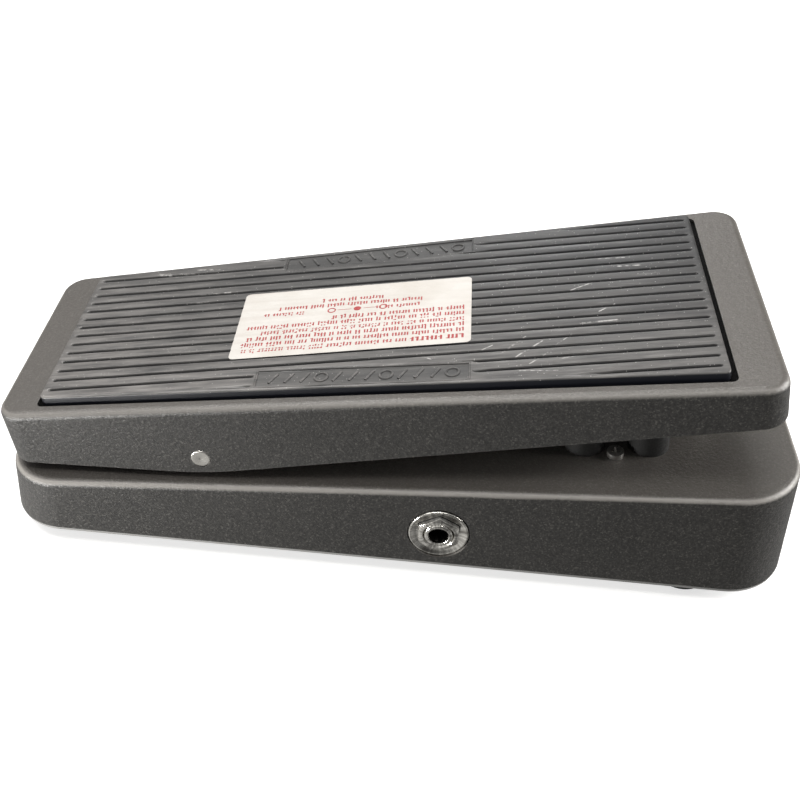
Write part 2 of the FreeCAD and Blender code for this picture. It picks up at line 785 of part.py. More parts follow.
def clevis_parts():
    """The sheet clevis under the treadle, its pin, its retaining clip and its screws."""
    reach = size("clevis_reach")
    web_z = size("clevis_web_z")
    ear_gap = "rack_width / 2 + clevis_gap"
    inner_y = size("rack_width") / 2 + size("clevis_gap")
    web = block("clevis_web", "8", "30", "clevis_sheet", (reach - 4, -15, web_z))
    ears = []
    for side, name in ((-1, "right"), (1, "left")):
        low_y = inner_y if side > 0 else -inner_y - size("clevis_sheet")
        ears.append(block("clevis_ear_" + name, "8", "clevis_sheet", "clevis_web_z - clevis_z + 3.6",
                          (reach - 4, low_y, size("clevis_z") - 3.6)))
    holes = [rod("clevis_eye", "clevis_pin_radius + 0.02", "20", (reach, -10, size("clevis_z")), TO_LEFT)]
    for number, (x, y) in enumerate(clevis_screw_places()):
        holes.append(rod("clevis_screw_way_%d" % number, "small_screw_radius + screw_gap", "4",
                         (x, y, web_z - 1)))
    solid = fuse("clevis_solids", [web] + ears)
    piece(cut("clevis_bracket", solid, fuse("clevis_holes", holes)), "clevis_bracket", treadle_frame)
    seats = [(x, y, web_z) for x, y in clevis_screw_places()]
    screw_set("clevis_screws", "small", seats, 4, treadle_frame)
    end = inner_y + size("clevis_sheet")
    shank = rod("clevis_pin_shank", "clevis_pin_radius", "2 * (%s + clevis_sheet) + 2" % ear_gap,
                (reach, -end, size("clevis_z")), TO_LEFT)
    head = rod("clevis_pin_head", "clevis_pin_radius + 1", "1", (reach, -end, size("clevis_z")), TO_RIGHT)
    piece(fuse("clevis_pin", [shank, head]), "clevis_pin", treadle_frame)
    clip = ring("clevis_clip_ring", "clevis_pin_radius + 1.4", "clevis_pin_radius + 0.02", "0.6",
                (reach, end + 0.2, size("clevis_z")), TO_LEFT)
    mouth = block("clevis_clip_mouth", "1.8", "3", "6", (reach - 0.9, end - 0.5, size("clevis_z") - 6))
    piece(cut("clevis_clip", clip, mouth), "clevis_clip", treadle_frame)


def clevis_pin_place():
    """Where the clevis pin is at rest, in the row frame."""
    return treadle_frame.multVec(Vector(size("clevis_reach"), 0, size("clevis_z")))


def tooth_halfwidth(radius):
    """Half the angle that an involute tooth fills at a radius."""
    pressure = math.radians(20)
    pitch_radius = size("gear_module") * size("gear_teeth") / 2
    base_radius = pitch_radius * math.cos(pressure)
    thickness = math.pi * size("gear_module") / 2 - size("gear_backlash")
    half = thickness / (2 * pitch_radius) + math.tan(pressure) - pressure
    if radius <= base_radius:
        return half
    angle = math.acos(base_radius / radius)
    return half - (math.tan(angle) - angle)


def pinion_outline():
    """Closed wire of the pinion's teeth, one of which points at the rack."""
    module = size("gear_module")
    pitch_radius = module * size("gear_teeth") / 2
    root = pitch_radius - 1.25 * module
    outer = pitch_radius + module
    flank = [root, pitch_radius * 0.95, pitch_radius, pitch_radius + 0.5 * module, outer]
    points = []
    for tooth in range(int(size("gear_teeth"))):
        centre = math.pi + 2 * math.pi * tooth / size("gear_teeth")
        for radius in flank:
            points.append((radius, centre - tooth_halfwidth(radius)))
        for radius in reversed(flank):
            points.append((radius, centre + tooth_halfwidth(radius)))
    corners = [Vector(radius * math.cos(angle), 0, radius * math.sin(angle)) for radius, angle in points]
    return Part.makePolygon(corners + corners[:1])


def pinion_parts():
    gear_x = size("gear_axis_x")
    gear_z = size("gear_axis_z")
    start = size("gear_start_y")
    wheel = Part.Face(pinion_outline()).extrude(Vector(0, size("gear_width"), 0))
    bore = Part.makeCylinder(size("pot_shaft_radius") + 0.01, 30, Vector(0, -5, 0), TO_LEFT)
    gear = document.addObject("Part::Feature", "pinion_gear")
    gear.Shape = wheel.cut(bore)
    gear.Placement = Placement(Vector(gear_x, start, gear_z), Rotation())
    piece(gear, "pinion_gear")
    shaft = rod("pot_shaft_bar", "pot_shaft_radius", "pot_face_y + pot_length * 0.6 - gear_start_y + 1",
                (gear_x, start - 1, gear_z), TO_LEFT)
    slit = block("pot_shaft_slit", "8", "4", "0.8", (gear_x - 4, start - 1.5, gear_z - 0.4))
    piece(cut("pot_shaft", shaft, slit), "pot_shaft")


def rack_outline():
    """Closed wire of the rack's toothed bar, drawn in the XZ plane."""
    module = size("gear_module")
    pitch = math.pi * module
    pitch_x = size("gear_axis_x") - module * size("gear_teeth") / 2
    root_x = size("rack_root_x")
    tip_x = pitch_x + 0.95 * module
    half = (pitch / 2 - size("gear_backlash")) / 2
    slope = math.tan(math.radians(20))
    half_root = half + (pitch_x - root_x) * slope
    half_tip = half - (tip_x - pitch_x) * slope
    bottom = size("rack_bottom_z")
    count = int((size("rack_tooth_top_z") - bottom) / pitch)
    first = size("gear_axis_z") - 0.5 * pitch + pitch * math.ceil(
        (bottom + half_root - size("gear_axis_z") + 0.5 * pitch) / pitch)
    points = [(size("rack_back_x"), bottom), (root_x, bottom)]
    for tooth in range(count):
        middle = first + tooth * pitch
        points.append((root_x, middle - half_root))
        points.append((tip_x, middle - half_tip))
        points.append((tip_x, middle + half_tip))
        points.append((root_x, middle + half_root))
    top = clevis_pin_place().z
    points.append((root_x, top))
    points.append((size("rack_back_x"), top))
    corners = [Vector(x, 0, z) for x, z in points]
    return Part.makePolygon(corners + corners[:1])


def rack():
    """The toothed bar with a slotted head: the pin slides along the slot as the treadle swings."""
    width = size("rack_width")
    pin = clevis_pin_place()
    slot_x = (pin.x + size("pivot_x") + size("clevis_reach")) / 2
    bar = Part.Face(rack_outline()).extrude(Vector(0, width, 0))
    half = size("rack_head_half")
    head = Part.makeBox(2 * half, width, 9, Vector(slot_x - half, 0, pin.z - 4.5))
    reach = size("rack_slot_half")
    radius = size("clevis_pin_radius") + 0.08
    way = Part.makeBox(2 * reach, width, 2 * radius, Vector(slot_x - reach, 0, pin.z - radius))
    for side in (-1, 1):
        end = Vector(slot_x + side * reach, 0, pin.z)
        way = way.fuse(Part.makeCylinder(radius, width, end, TO_LEFT))
    thing = document.addObject("Part::Feature", "rack")
    thing.Shape = bar.fuse(head).removeSplitter().cut(way)
    thing.Placement = Placement(Vector(0, -width / 2, 0), Rotation())
    piece(thing, "rack")


def rack_guide():
    """A plastic channel that keeps the rack pressed towards the pinion."""
    back = size("rack_back_x")
    top = size("mechanism_pad_z")
    low = top - size("guide_height")
    body = block("guide_block", "9.4", "16", "guide_height", (back - 8.0, -8, low))
    groove = block("guide_groove", "6", "rack_width + 0.12", "guide_height + 2",
                   (back - 0.06, -size("rack_width") / 2 - 0.06, low - 1))
    holes = [groove]
    for number, (x, y) in enumerate(guide_screws()):
        holes.append(rod("guide_way_%d" % number, "small_screw_radius + screw_gap",
                         "guide_height + 2", (x, y, low - 1)))
    piece(cut("rack_guide", body, fuse("guide_holes", holes)), "rack_guide")


def pot_parts():
    """Potentiometer, its bracket and the screws of the bracket and of the guide."""
    gear_x = size("gear_axis_x")
    gear_z = size("gear_axis_z")
    top = size("mechanism_pad_z")
    sheet_gauge = size("bracket_sheet")
    plate_y = size("bracket_plate_y")
    flange = block("bracket_flange", "16.5", "bracket_plate_y + bracket_sheet + 13", "bracket_sheet",
                   (gear_x - 4.6, -13, top - sheet_gauge))
    plate = block("bracket_plate", "16.5", "bracket_sheet", "20",
                  (gear_x - 4.6, plate_y, top - 20))
    holes = [rod("bracket_eye", "pot_thread_radius + screw_gap", "10",
                 (gear_x, plate_y - 4, gear_z), TO_LEFT)]
    for number, (x, y) in enumerate(bracket_screws()):
        holes.append(rod("bracket_way_%d" % number, "small_screw_radius + screw_gap", "6",
                         (x, y, top - 4)))
    piece(cut("pot_bracket", fuse("bracket_solids", [flange, plate]),
              fuse("bracket_holes", holes)), "pot_bracket")
    short = [screw("bracket_screw_%d" % number, "small", 4, (x, y, top - sheet_gauge))
             for number, (x, y) in enumerate(bracket_screws())]
    long = [screw("guide_screw_%d" % number, "small", size("guide_height") + 2.5,
                  (x, y, top - size("guide_height"))) for number, (x, y) in enumerate(guide_screws())]
    piece(group("mechanism_screws", short + long), "mechanism_screws")
    face_y = size("pot_face_y")
    can = rod("pot_can", "pot_radius", "pot_length", (gear_x, face_y, gear_z), TO_LEFT)
    well = rod("pot_well", "pot_shaft_radius + running_gap", "pot_length * 0.8",
               (gear_x, face_y - 1, gear_z), TO_LEFT)
    piece(cut("pot_body", can, well), "pot_body")
    bushing = ring("pot_bushing", "pot_thread_radius", "pot_shaft_radius + running_gap",
                   "pot_face_y - 2.2", (gear_x, 2.2, gear_z), TO_LEFT)
    piece(bushing, "pot_bushing")
    piece(nut("pot_nut", "pot_nut_across", "2", "pot_thread_radius + 0.02",
              (gear_x, plate_y, gear_z), TO_RIGHT), "pot_nut")
    lugs = []
    for number in (-1, 0, 1):
        lugs.append(block("pot_lug_%d" % (number + 1), "2", "0.5", "4.2",
                          (gear_x - 1 + 5 * number, face_y + 3, gear_z - 13.4)))
    slab = block("pot_wafer", "14", "1.2", "4.5", (gear_x - 7, face_y + 3.5, gear_z - 12.4))
    keep_out = rod("pot_wafer_trim", "pot_radius + 0.02", "pot_length * 2",
                   (gear_x, face_y - 2, gear_z), TO_LEFT)
    piece(cut("pot_terminals", fuse("pot_terminal_solids", [slab] + lugs), keep_out), "pot_terminals")


# ---------------------------------------------------------------- footswitch

def footswitch():
    frame = deck_frame(size("switch_x"), 0)
    under = size("wall") + 0.4
    nut_height = size("switch_nut_height")
    side = size("switch_body_side")
    body_top = -under - nut_height
    case = block("switch_body", "switch_body_side", "switch_body_side", "switch_body_height",
                 (-side / 2, -side / 2, body_top - size("switch_body_height")))
    piece(case, "switch_body", frame)
    collar = ring("switch_bushing", "switch_thread_radius", "switch_bore_radius",
                  str(size("switch_thread_top") - body_top), (0, 0, body_top))
    piece(collar, "switch_bushing", frame)
    washer = ring("switch_washer", "switch_nut_across * 0.66", "switch_thread_radius + 0.1", "0.8", (0, 0, 0))
    piece(washer, "switch_washer", frame)
    nuts = [
        nut("switch_nut_over", "switch_nut_across", "switch_nut_height",
            "switch_thread_radius + 0.02", (0, 0, 0.8), UP),
        nut("switch_nut_under", "switch_nut_across", "switch_nut_height",
            "switch_thread_radius + 0.02", (0, 0, -under), DOWN),
    ]
    piece(group("switch_nuts", nuts), "switch_nuts", frame)
    lugs = []
    floor = body_top - size("switch_body_height")
    for column in (-1, 0, 1):
        for line in (-1, 0, 1):
            lugs.append(block("switch_lug_%d_%d" % (column + 1, line + 1), "2.2", "0.8", "3.6",
                              (5 * column - 1.1, 5 * line - 0.4, floor - 3.6)))
    piece(group("switch_lugs", lugs), "switch_lugs", frame)
    stem = rod("plunger_stem", "switch_plunger_radius", "switch_cap_bottom + 2", (0, 0, -2))
    cap = rod("plunger_cap", "switch_cap_radius", "switch_cap_top - switch_cap_bottom",
              (0, 0, size("switch_cap_bottom")))
    rounded = document.addObject("Part::Fillet", "plunger_cap_rounded")
    rounded.Base = cap
    document.recompute()
    rounded.Edges = [(number, 0.8, 0.8) for number, edge in enumerate(cap.Shape.Edges, start=1)
                     if len(edge.Vertexes) == 1 and edge.BoundBox.ZMin > size("switch_cap_top") - 0.01]
    piece(fuse("switch_plunger", [stem, rounded]), "switch_plunger", frame)


# ---------------------------------------------------------------- jacks and power inlet

def phone_jack(label, side):
    """A panel jack through a side wall: body, threaded bushing, dress washer, nut and contacts."""
    outwards = TO_LEFT if side > 0 else TO_RIGHT
    x = size("jack_x")
    z = size("jack_z")

    def at(distance):
        return (x, side * distance, z)

    face = size("jack_body_y")
    depth = size("jack_body_depth")
    low_y = face - depth if side > 0 else -face
    shell = block(label + "_shell", "jack_body_width", "jack_body_depth", "jack_body_height",
                  (x - size("jack_body_width") / 2, low_y, z - size("jack_body_height") / 2))
    cavity = rod(label + "_cavity", "jack_cavity_radius", "jack_body_depth", at(face - depth + 1.2), outwards)
    piece(cut(label + "_body", shell, cavity), label + "_body")
    tube = ring(label + "_bushing", "jack_thread_radius", "jack_bore_radius",
                "jack_thread_end_y - jack_body_y", at(face), outwards)
    piece(tube, label + "_bushing")
    seat = size("jack_seat_y")
    washer = cone(label + "_dish", "jack_washer_radius", "jack_washer_radius - 0.5",
                  "jack_washer_thickness", at(seat), outwards)
    hole = rod(label + "_dish_bore", "jack_thread_radius + 0.1", "4", at(seat - 1), outwards)
    piece(cut(label + "_washer", washer, hole), label + "_washer")
    piece(nut(label + "_nut", "jack_nut_across", "jack_nut_height", "jack_thread_radius + 0.02",
              at(seat + size("jack_washer_thickness")), outwards, 0), label + "_nut")
    lugs = []
    for number in (0, 1, 2):
        inner = face - depth + 3 + 6 * number
        low = inner if side > 0 else -inner - 2.4
        lugs.append(block("%s_lug_%d" % (label, number), "4", "2.4", "0.5",
                          (x - size("jack_body_width") / 2 - 4, low, z - 2 + number)))
    piece(group(label + "_contacts", lugs), label + "_contacts")


def power_inlet():
    """The barrel socket for a mains adaptor, in the left wall."""
    x = size("inlet_x")
    z = size("inlet_z")
    seat = size("jack_seat_y") + 0.8
    face = seat - 3.6
    depth = size("inlet_body_depth")

    def at(distance):
        return (x, distance, z)

    shell = rod("inlet_shell", "inlet_body_radius", "inlet_body_depth", at(face - depth), TO_LEFT)
    thread = rod("inlet_thread", "inlet_thread_radius", "7.6", at(face), TO_LEFT)
    bore = rod("inlet_bore", "inlet_bore_radius", "20", at(face - depth + 3), TO_LEFT)
    piece(cut("inlet_body", fuse("inlet_solid", [shell, thread]), bore), "inlet_body")
    centre = rod("inlet_pin_rod", "inlet_pin_radius", "13", at(face - depth + 3), TO_LEFT)
    piece(centre, "inlet_pin")
    piece(nut("inlet_nut", "inlet_nut_across", "inlet_nut_height", "inlet_thread_radius + 0.02",
              at(seat), TO_LEFT), "inlet_nut")


# ---------------------------------------------------------------- electronics

def circuit_board():
    body = new_body("circuit_board")
    outline = sketch_on(body, "XY_Plane", "outline", "board_bottom_z")
    draw_polygon(outline, trapezium(
        "board_heel_x", "board_toe_x", "2 * board_half_width", "2 * board_half_width"))
    pad(body, outline, "board_thickness")
    drill = sketch_on(body, "XY_Plane", "drill", "board_bottom_z + board_thickness")
    for x in ("board_heel_x + board_post_inset", "board_toe_x - board_post_inset"):
        for sign in ("", "-"):
            y = sign + "(board_half_width - board_post_inset)"
            draw_circle(drill, x, y, "small_screw_radius + screw_gap")
    pocket(body, drill, "board_thickness * 2")
    piece(body, "circuit_board")
    seats = [(x, y, size("board_bottom_z")) for x, y in board_posts()]
    screw_set("board_screws", "small", seats, 5.5)


def components():
    """Inductor, capacitors, resistors and transistors hanging from the board's lower face."""
    under = size("board_bottom_z")
    piece(ring("inductor", "8.5", "1.6", "8.6", (-36, 0, under), DOWN), "inductor")
    cans = []
    for number, (x, y) in enumerate([(-84, -14), (-84, 0), (-58, 22), (-48, -22)]):
        cans.append(rod("can_%d" % number, "3.1", "8.2", (x, y, under), DOWN))
    for number, (x, y) in enumerate([(-70, 8), (-70, 16), (-60, -20)]):
        cans.append(block("film_%d" % number, "7.4", "3.4", "7", (x, y, under - 7)))
    piece(group("capacitors", cans), "capacitors")
    bars = []
    for number in range(8):
        x = -76 + 7 * (number % 4)
        y = -9 + 12 * (number // 4)
        name = "resistor_%d" % number
        parts = [rod(name + "_bar", "1.15", "6.4", (x, y - 3.2, under - 2), TO_LEFT)]
        for end in (-1, 1):
            parts.append(rod("%s_lead_%d" % (name, end + 1), "0.3", "2", (x, y + end * 2.6, under), DOWN))
        bars.append(fuse(name, parts))
    piece(group("resistors", bars), "resistors")
    drops = []
    for number, (x, y) in enumerate([(-50, 8), (-50, -10)]):
        name = "transistor_%d" % number
        round_part = rod(name + "_round", "2.4", "4.8", (x, y, under - 2), DOWN)
        flat = block(name + "_flat", "6", "2", "6", (x - 3, y + 1.5, under - 8))
        drops.append(cut(name, round_part, flat))
    piece(group("transistors", drops), "transistors")


def battery():
    x = size("battery_x")
    half = size("battery_length") / 2
    low_x = x - size("battery_thickness") / 2
    low = size("battery_bottom_z")
    case = block("battery_case", "battery_thickness", "battery_length", "battery_height",
                 (low_x, -half, low))
    piece(case, "battery")
    middle = low + size("battery_height") / 2
    stud_end = half + 3.0
    posts = [ring("battery_socket_%d" % number, "4.6", "3.0", "3.0", (x + step, half, middle), TO_LEFT)
             for number, step in enumerate((-6.35, 6.35))]
    cover = block("battery_snap_cover", "25", "1.6", "12", (x - 12.5, stud_end, middle - 6))
    piece(fuse("battery_snap", posts + [cover]), "battery_snap")
    gauge = size("strap_sheet")
    width = size("strap_width")
    leg_y = half + 4.8
    flange_z = deck_height(x) - size("wall") - 1.6
    reach = size("strap_screw_y") + 4
    parts = [block("strap_floor", "strap_width", str(2 * (leg_y + gauge)), "strap_sheet",
                   (x - width / 2, -leg_y - gauge, low - gauge))]
    for side, name in ((-1, "right"), (1, "left")):
        leg_low = leg_y if side > 0 else -leg_y - gauge
        parts.append(block("strap_leg_" + name, "strap_width", "strap_sheet",
                           str(flange_z - low + gauge), (x - width / 2, leg_low, low - gauge)))
        flange_low = leg_y if side > 0 else -reach
        parts.append(block("strap_flange_" + name, "strap_width", str(reach - leg_y), "strap_sheet",
                           (x - width / 2, flange_low, flange_z - gauge)))
    holes = []
    for side, name in ((-1, "right"), (1, "left")):
        holes.append(rod("strap_way_" + name, "small_screw_radius + 0.2", "6",
                         (x + 0.4, side * size("strap_screw_y"), flange_z - 3)))
    piece(cut("battery_strap", fuse("strap_solids", parts), fuse("strap_ways", holes)), "battery_strap")
    screws = []
    for side, name in ((-1, "right"), (1, "left")):
        bolt = screw("strap_screw_" + name, "small", 6, (0, 0, 0.02), DOWN)
        bolt.Placement = deck_frame(x, side * size("strap_screw_y")).multiply(bolt.Placement)
        screws.append(bolt)
    piece(group("strap_screws", screws), "strap_screws")


# ---------------------------------------------------------------- wires

def bent_path(points):
    """Straight runs joined by tangent arcs, each as large as its two runs allow."""
    spots = [Vector(*point) for point in points]
    edges = []
    start = spots[0]
    radii = []
    for before, corner, after in zip(spots, spots[1:], spots[2:]):
        back = (before - corner).normalize()
        ahead = (after - corner).normalize()
        half_turn = (math.pi - back.getAngle(ahead)) / 2
        reach = 0.45 * min((before - corner).Length, (after - corner).Length)
        radii.append(reach / math.tan(half_turn))
        bisector = (back + ahead).normalize()
        entry = corner + back * reach
        leave = corner + ahead * reach
        crown = corner + bisector * (radii[-1] / math.cos(half_turn) - radii[-1])
        edges.append(Part.LineSegment(start, entry).toShape())
        edges.append(Part.Arc(entry, crown, leave).toShape())
        start = leave
    edges.append(Part.LineSegment(start, spots[-1]).toShape())
    return Part.Wire(edges), radii


def wires(label, routes):
    """Round insulated wires along their routes, checked against section times length."""
    radius = size("wire_radius")
    solids = []
    for route in routes:
        path, radii = bent_path(route)
        direction = Vector(*route[1]) - Vector(*route[0])
        section = Part.Wire(Part.makeCircle(radius, Vector(*route[0]), direction))
        tube = path.makePipeShell([section], True, True)
        expected = math.pi * radius ** 2 * path.Length
        if abs(tube.Volume / expected - 1) > 0.01:
            raise RuntimeError("%s: a wire has the wrong volume" % label)
        print("%s: %.1f mm long, arcs %s mm" % (label, path.Length, ["%.1f" % r for r in radii]))
        solids.append(tube)
    thing = document.addObject("Part::Feature", label)
    thing.Shape = Part.makeCompound(solids)
    piece(thing, label)


def wiring():
    """Every lead from its terminal to the circuit board, lying on the board at its end."""
    above = size("board_bottom_z") + size("board_thickness") + size("wire_radius") + 0.1
    below = size("board_bottom_z") - size("wire_radius") - 0.1
    board_x = size("board_toe_x") - 7
    leads = []
    for lane in (0, 1):
        y = 28 - 2 * lane
        leads.append([(56.2, y, 26.8), (44, y, 28.6), (22, y - 1, 30.4), (2, y - 3, 28.4),
                      (-12, y - 12, 23.2), (board_x, y - 15, above)])
    wires("battery_leads", leads)
    leads = []
    for lane in (-1, 0, 1):
        y = -12 + 2 * lane
        leads.append([(93.6, 5 * lane, 17), (84, 5 * lane - 2, 13), (60, y + 2, 11.2), (34, y, 10.6),
                      (8, y - 1, 11), (-6, y - 1, 12.6), (-17, y - 1, 17), (board_x, y - 1, below)])
    wires("switch_wires", leads)
    leads = []
    for lane in (0, 1, 2):
        x = size("gear_axis_x") + 5 * (lane - 1)
        y = 14.5 + 1.8 * lane
        leads.append([(x, 10.5, 9.4), (x - 2, 13, 9.6), (x - 8, y, 10), (-6, y, 12),
                      (-17, y, 16.8), (board_x, y, below)])
    wires("pot_wires", leads)
    jack_edge = size("jack_x") - size("jack_body_width") / 2 - 4.2
    leads = []
    for side in (-1, 1):
        leads.append([(jack_edge, side * 24.7, 18.6), (-6, side * 24, 18.2), (-16, side * 21, 18),
                      (board_x, side * 20.3, below)])
        leads.append([(jack_edge, side * 30.7, 19.6), (-6, side * 28, 18.8), (-16, side * 23.2, 18),
                      (board_x, side * 22.1, below)])
    for lane in (0, 1):
        lift = 2 * lane
        leads.append([(45, 34.1, 21 + lift), (42.5, 31.2, 24 + lift), (33, 30.4, 28.4 + lift),
                      (18, 31 + lift, 31), (2, 29 + lift, 29.5), (-12, 20.5 + lift, 24.5),
                      (board_x, 17.3 + lift, above)])
    wires("jack_wires", leads)


# ---------------------------------------------------------------- rubber stops

def rubber_stops():
    toe = []
    for row in ("front", "back"):
        x = size("stop_toe_%s_x" % row)
        for side in (-1, 1):
            name = "toe_stop_%s_%d" % (row, side + 1)
            stop = rod(name, "stop_toe_radius", "stop_toe_%s_height" % row)
            stop.Placement = deck_frame(x, side * size("stop_toe_y"))
            toe.append(stop)
    piece(group("toe_stops", toe), "toe_stops")
    heel = []
    for side in (-1, 1):
        stop = rod("heel_stop_%d" % (side + 1), "stop_heel_radius", "stop_heel_height")
        stop.Placement = deck_frame(size("stop_heel_x"), side * size("stop_heel_y"))
        heel.append(stop)
    piece(group("heel_stops", heel), "heel_stops")


# ---------------------------------------------------------------- build, check and write

def build():
    base_housing()
    bottom_plate()
    rubber_feet()
    foot_screws()
    treadle_shell()
    tread_mat()
    notice_sticker()
    hinge_parts()
    clevis_parts()
    pinion_parts()
    rack()
    rack_guide()
    pot_parts()
    footswitch()
    phone_jack("input_jack", -1)
    phone_jack("output_jack", 1)
    power_inlet()
    circuit_board()
    components()
    battery()
    wiring()
    rubber_stops()
    document.recompute()


def check():
    """Stop if any object failed to compute or any piece is not a valid solid."""
    for thing in document.Objects:
        if "Invalid" in thing.State or "Error" in thing.State:
            raise RuntimeError("%s did not compute: %s" % (thing.Name, thing.State))
    for thing in pieces:
        shape = thing.Shape
        if shape.isNull() or not shape.isValid() or not shape.Solids:
            raise RuntimeError("%s is not a valid solid" % thing.Label)


def write():
    os.makedirs("parts", exist_ok=True)
    for thing in pieces:
        thing.Shape.exportStep("parts/%s.step" % thing.Label)
        print("%-24s %3d solids %10.1f mm3" % (thing.Label, len(thing.Shape.Solids), thing.Shape.Volume))


build()
check()
write()
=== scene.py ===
"""Looks of the rocker pedal: finishes for the CAD nodes, detailed pieces, floor, lights and camera."""
import json
import math
import random
import bpy
import bmesh
from mathutils import Matrix, Vector


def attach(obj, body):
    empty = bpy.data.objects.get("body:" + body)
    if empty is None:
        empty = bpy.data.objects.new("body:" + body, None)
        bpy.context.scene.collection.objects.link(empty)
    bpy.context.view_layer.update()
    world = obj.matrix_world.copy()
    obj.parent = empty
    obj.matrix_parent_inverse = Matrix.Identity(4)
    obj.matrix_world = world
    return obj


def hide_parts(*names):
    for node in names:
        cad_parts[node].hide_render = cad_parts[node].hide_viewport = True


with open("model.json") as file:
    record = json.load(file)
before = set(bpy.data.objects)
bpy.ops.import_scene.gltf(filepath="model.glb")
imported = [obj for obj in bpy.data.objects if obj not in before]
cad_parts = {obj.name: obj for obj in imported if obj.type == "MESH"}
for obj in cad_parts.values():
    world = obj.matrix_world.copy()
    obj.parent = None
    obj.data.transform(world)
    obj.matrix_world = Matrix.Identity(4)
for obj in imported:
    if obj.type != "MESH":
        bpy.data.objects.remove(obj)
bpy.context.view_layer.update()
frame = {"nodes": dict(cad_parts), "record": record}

MM = 0.001
# Lengths named in capitals are in millimetres.
# The mat's underside and top, above the hinge axis and square to the treadle.
MAT_BOTTOM, MAT_TOP = 18.4, 21.8
# The panel jacks' axis, and how far out on the base's sides their washers sit.
JACK_X, JACK_Z = 14.5, 20.3
SEAT = 48.5
NUT_FLATS, NUT_HEIGHT, NUT_BORE = 12.7, 1.45, 4.77
SLOT_OF = {part["node"]: part["material_slot"] for part in frame["record"]["subparts"]}

# The treadle's own frame: origin on the hinge axis, x along its top, tilted toe up at rest.
PIVOT = Vector((-61.44, 0, 39.94)) * MM
TILT = math.radians(9.77)
TREADLE = Matrix.Translation(PIVOT) @ Matrix.Rotation(-TILT, 4, "Y")


def lerp(a, b, share):
    return a + (b - a) * share


def clamp(value, low, high):
    return max(low, min(high, value))


def smooth(low, high, value):
    share = clamp((value - low) / (high - low), 0, 1)
    return share * share * (3 - 2 * share)


# ------------------------------------------------------------------ node materials

class Shader:
    """A node material under construction. Sockets are passed around as plain values or node outputs."""

    def __init__(self, name):
        self.material = bpy.data.materials.new(name)
        self.material.use_nodes = True
        self.nodes = self.material.node_tree.nodes
        self.links = self.material.node_tree.links
        self.nodes.clear()
        self.output = self.nodes.new("ShaderNodeOutputMaterial")

    def put(self, socket, value):
        if isinstance(value, bpy.types.NodeSocket):
            self.links.new(value, socket)
        elif hasattr(socket, "default_value"):
            if isinstance(value, (tuple, list, Vector)) and len(value) == 3 and socket.type == "RGBA":
                value = (*value, 1)
            socket.default_value = value

    def node(self, kind, out=0, settings=None, **inputs):
        made = self.nodes.new("ShaderNode" + kind)
        for key, value in (settings or {}).items():
            setattr(made, key, value)
        for key, value in inputs.items():
            index = int(key[1:]) if key[0] == "i" and key[1:].isdigit() else key.replace("_", " ")
            self.put(made.inputs[index], value)
        return made.outputs[out]

    def math(self, operation, a, b=0.0):
        return self.node("Math", settings={"operation": operation}, i0=a, i1=b)

    def times(self, a, b):
        return self.math("MULTIPLY", a, b)

    def vector(self, operation, a, b=(0, 0, 0)):
        out = "Value" if operation in ("DOT_PRODUCT", "LENGTH", "DISTANCE") else 0
        return self.node("VectorMath", out, {"operation": operation}, i0=a, i1=b)

    def mix(self, share, a, b):
        made = self.nodes.new("ShaderNodeMix")
        made.data_type = "RGBA"
        self.put(made.inputs[0], share)
        self.put(made.inputs[6], a)
        self.put(made.inputs[7], b)
        return made.outputs[2]

    def ramp(self, value, low, high, to_low=0.0, to_high=1.0):
        """Runs from to_low to to_high while value runs from low to high, and stays there outside."""
        return self.node("MapRange", settings={"clamp": True}, Value=value, i1=low, i2=high,
                         i3=to_low, i4=to_high)

    def place(self):
        return self.node("TexCoord", "Object")

    def normal(self):
        return self.node("NewGeometry", "Normal")

    def along(self, axis, vector):
        """One coordinate of a vector, by its axis's letter."""
        return self.node("SeparateXYZ", "XYZ".index(axis), i0=vector)

    def treadle_place(self):
        """Object coordinates turned into the treadle's own frame."""
        return self.node("Mapping", settings={"vector_type": "TEXTURE"}, Vector=self.place(),
                         Location=PIVOT, Rotation=(0, -TILT, 0))

    def stretch(self, vector, scale):
        return self.vector("MULTIPLY", vector, scale)

    def noise(self, size, vector=None, detail=2.0, rough=0.5):
        """Noise whose features are about size millimetres wide."""
        return self.node("TexNoise", "Fac", Vector=vector or self.place(), Scale=1 / (size * MM),
                         Detail=detail, Roughness=rough)

    def cells(self, size, vector=None, out="Color"):
        """Random cells about size millimetres wide: a colour for each, or the distance from its middle."""
        return self.node("TexVoronoi", out, Vector=vector or self.place(), Scale=1 / (size * MM))

    def bump(self, height, depth, strength):
        return self.node("Bump", Height=height, Distance=depth * MM, Strength=strength)

    def edges(self, radius):
        """0 on flats, towards 1 within radius millimetres of an edge."""
        bevel = self.node("Bevel", settings={"samples": 6}, Radius=radius * MM)
        return self.math("SUBTRACT", 1.0, self.vector("DOT_PRODUCT", bevel, self.normal()))

    def finish(self, **inputs):
        surface = self.node("BsdfPrincipled", **inputs)
        self.links.new(surface, self.output.inputs["Surface"])
        return self.material


def random_share(shader, cells):
    """One random number per cell, from its colour."""
    return shader.node("SeparateColor", 0, i0=cells)


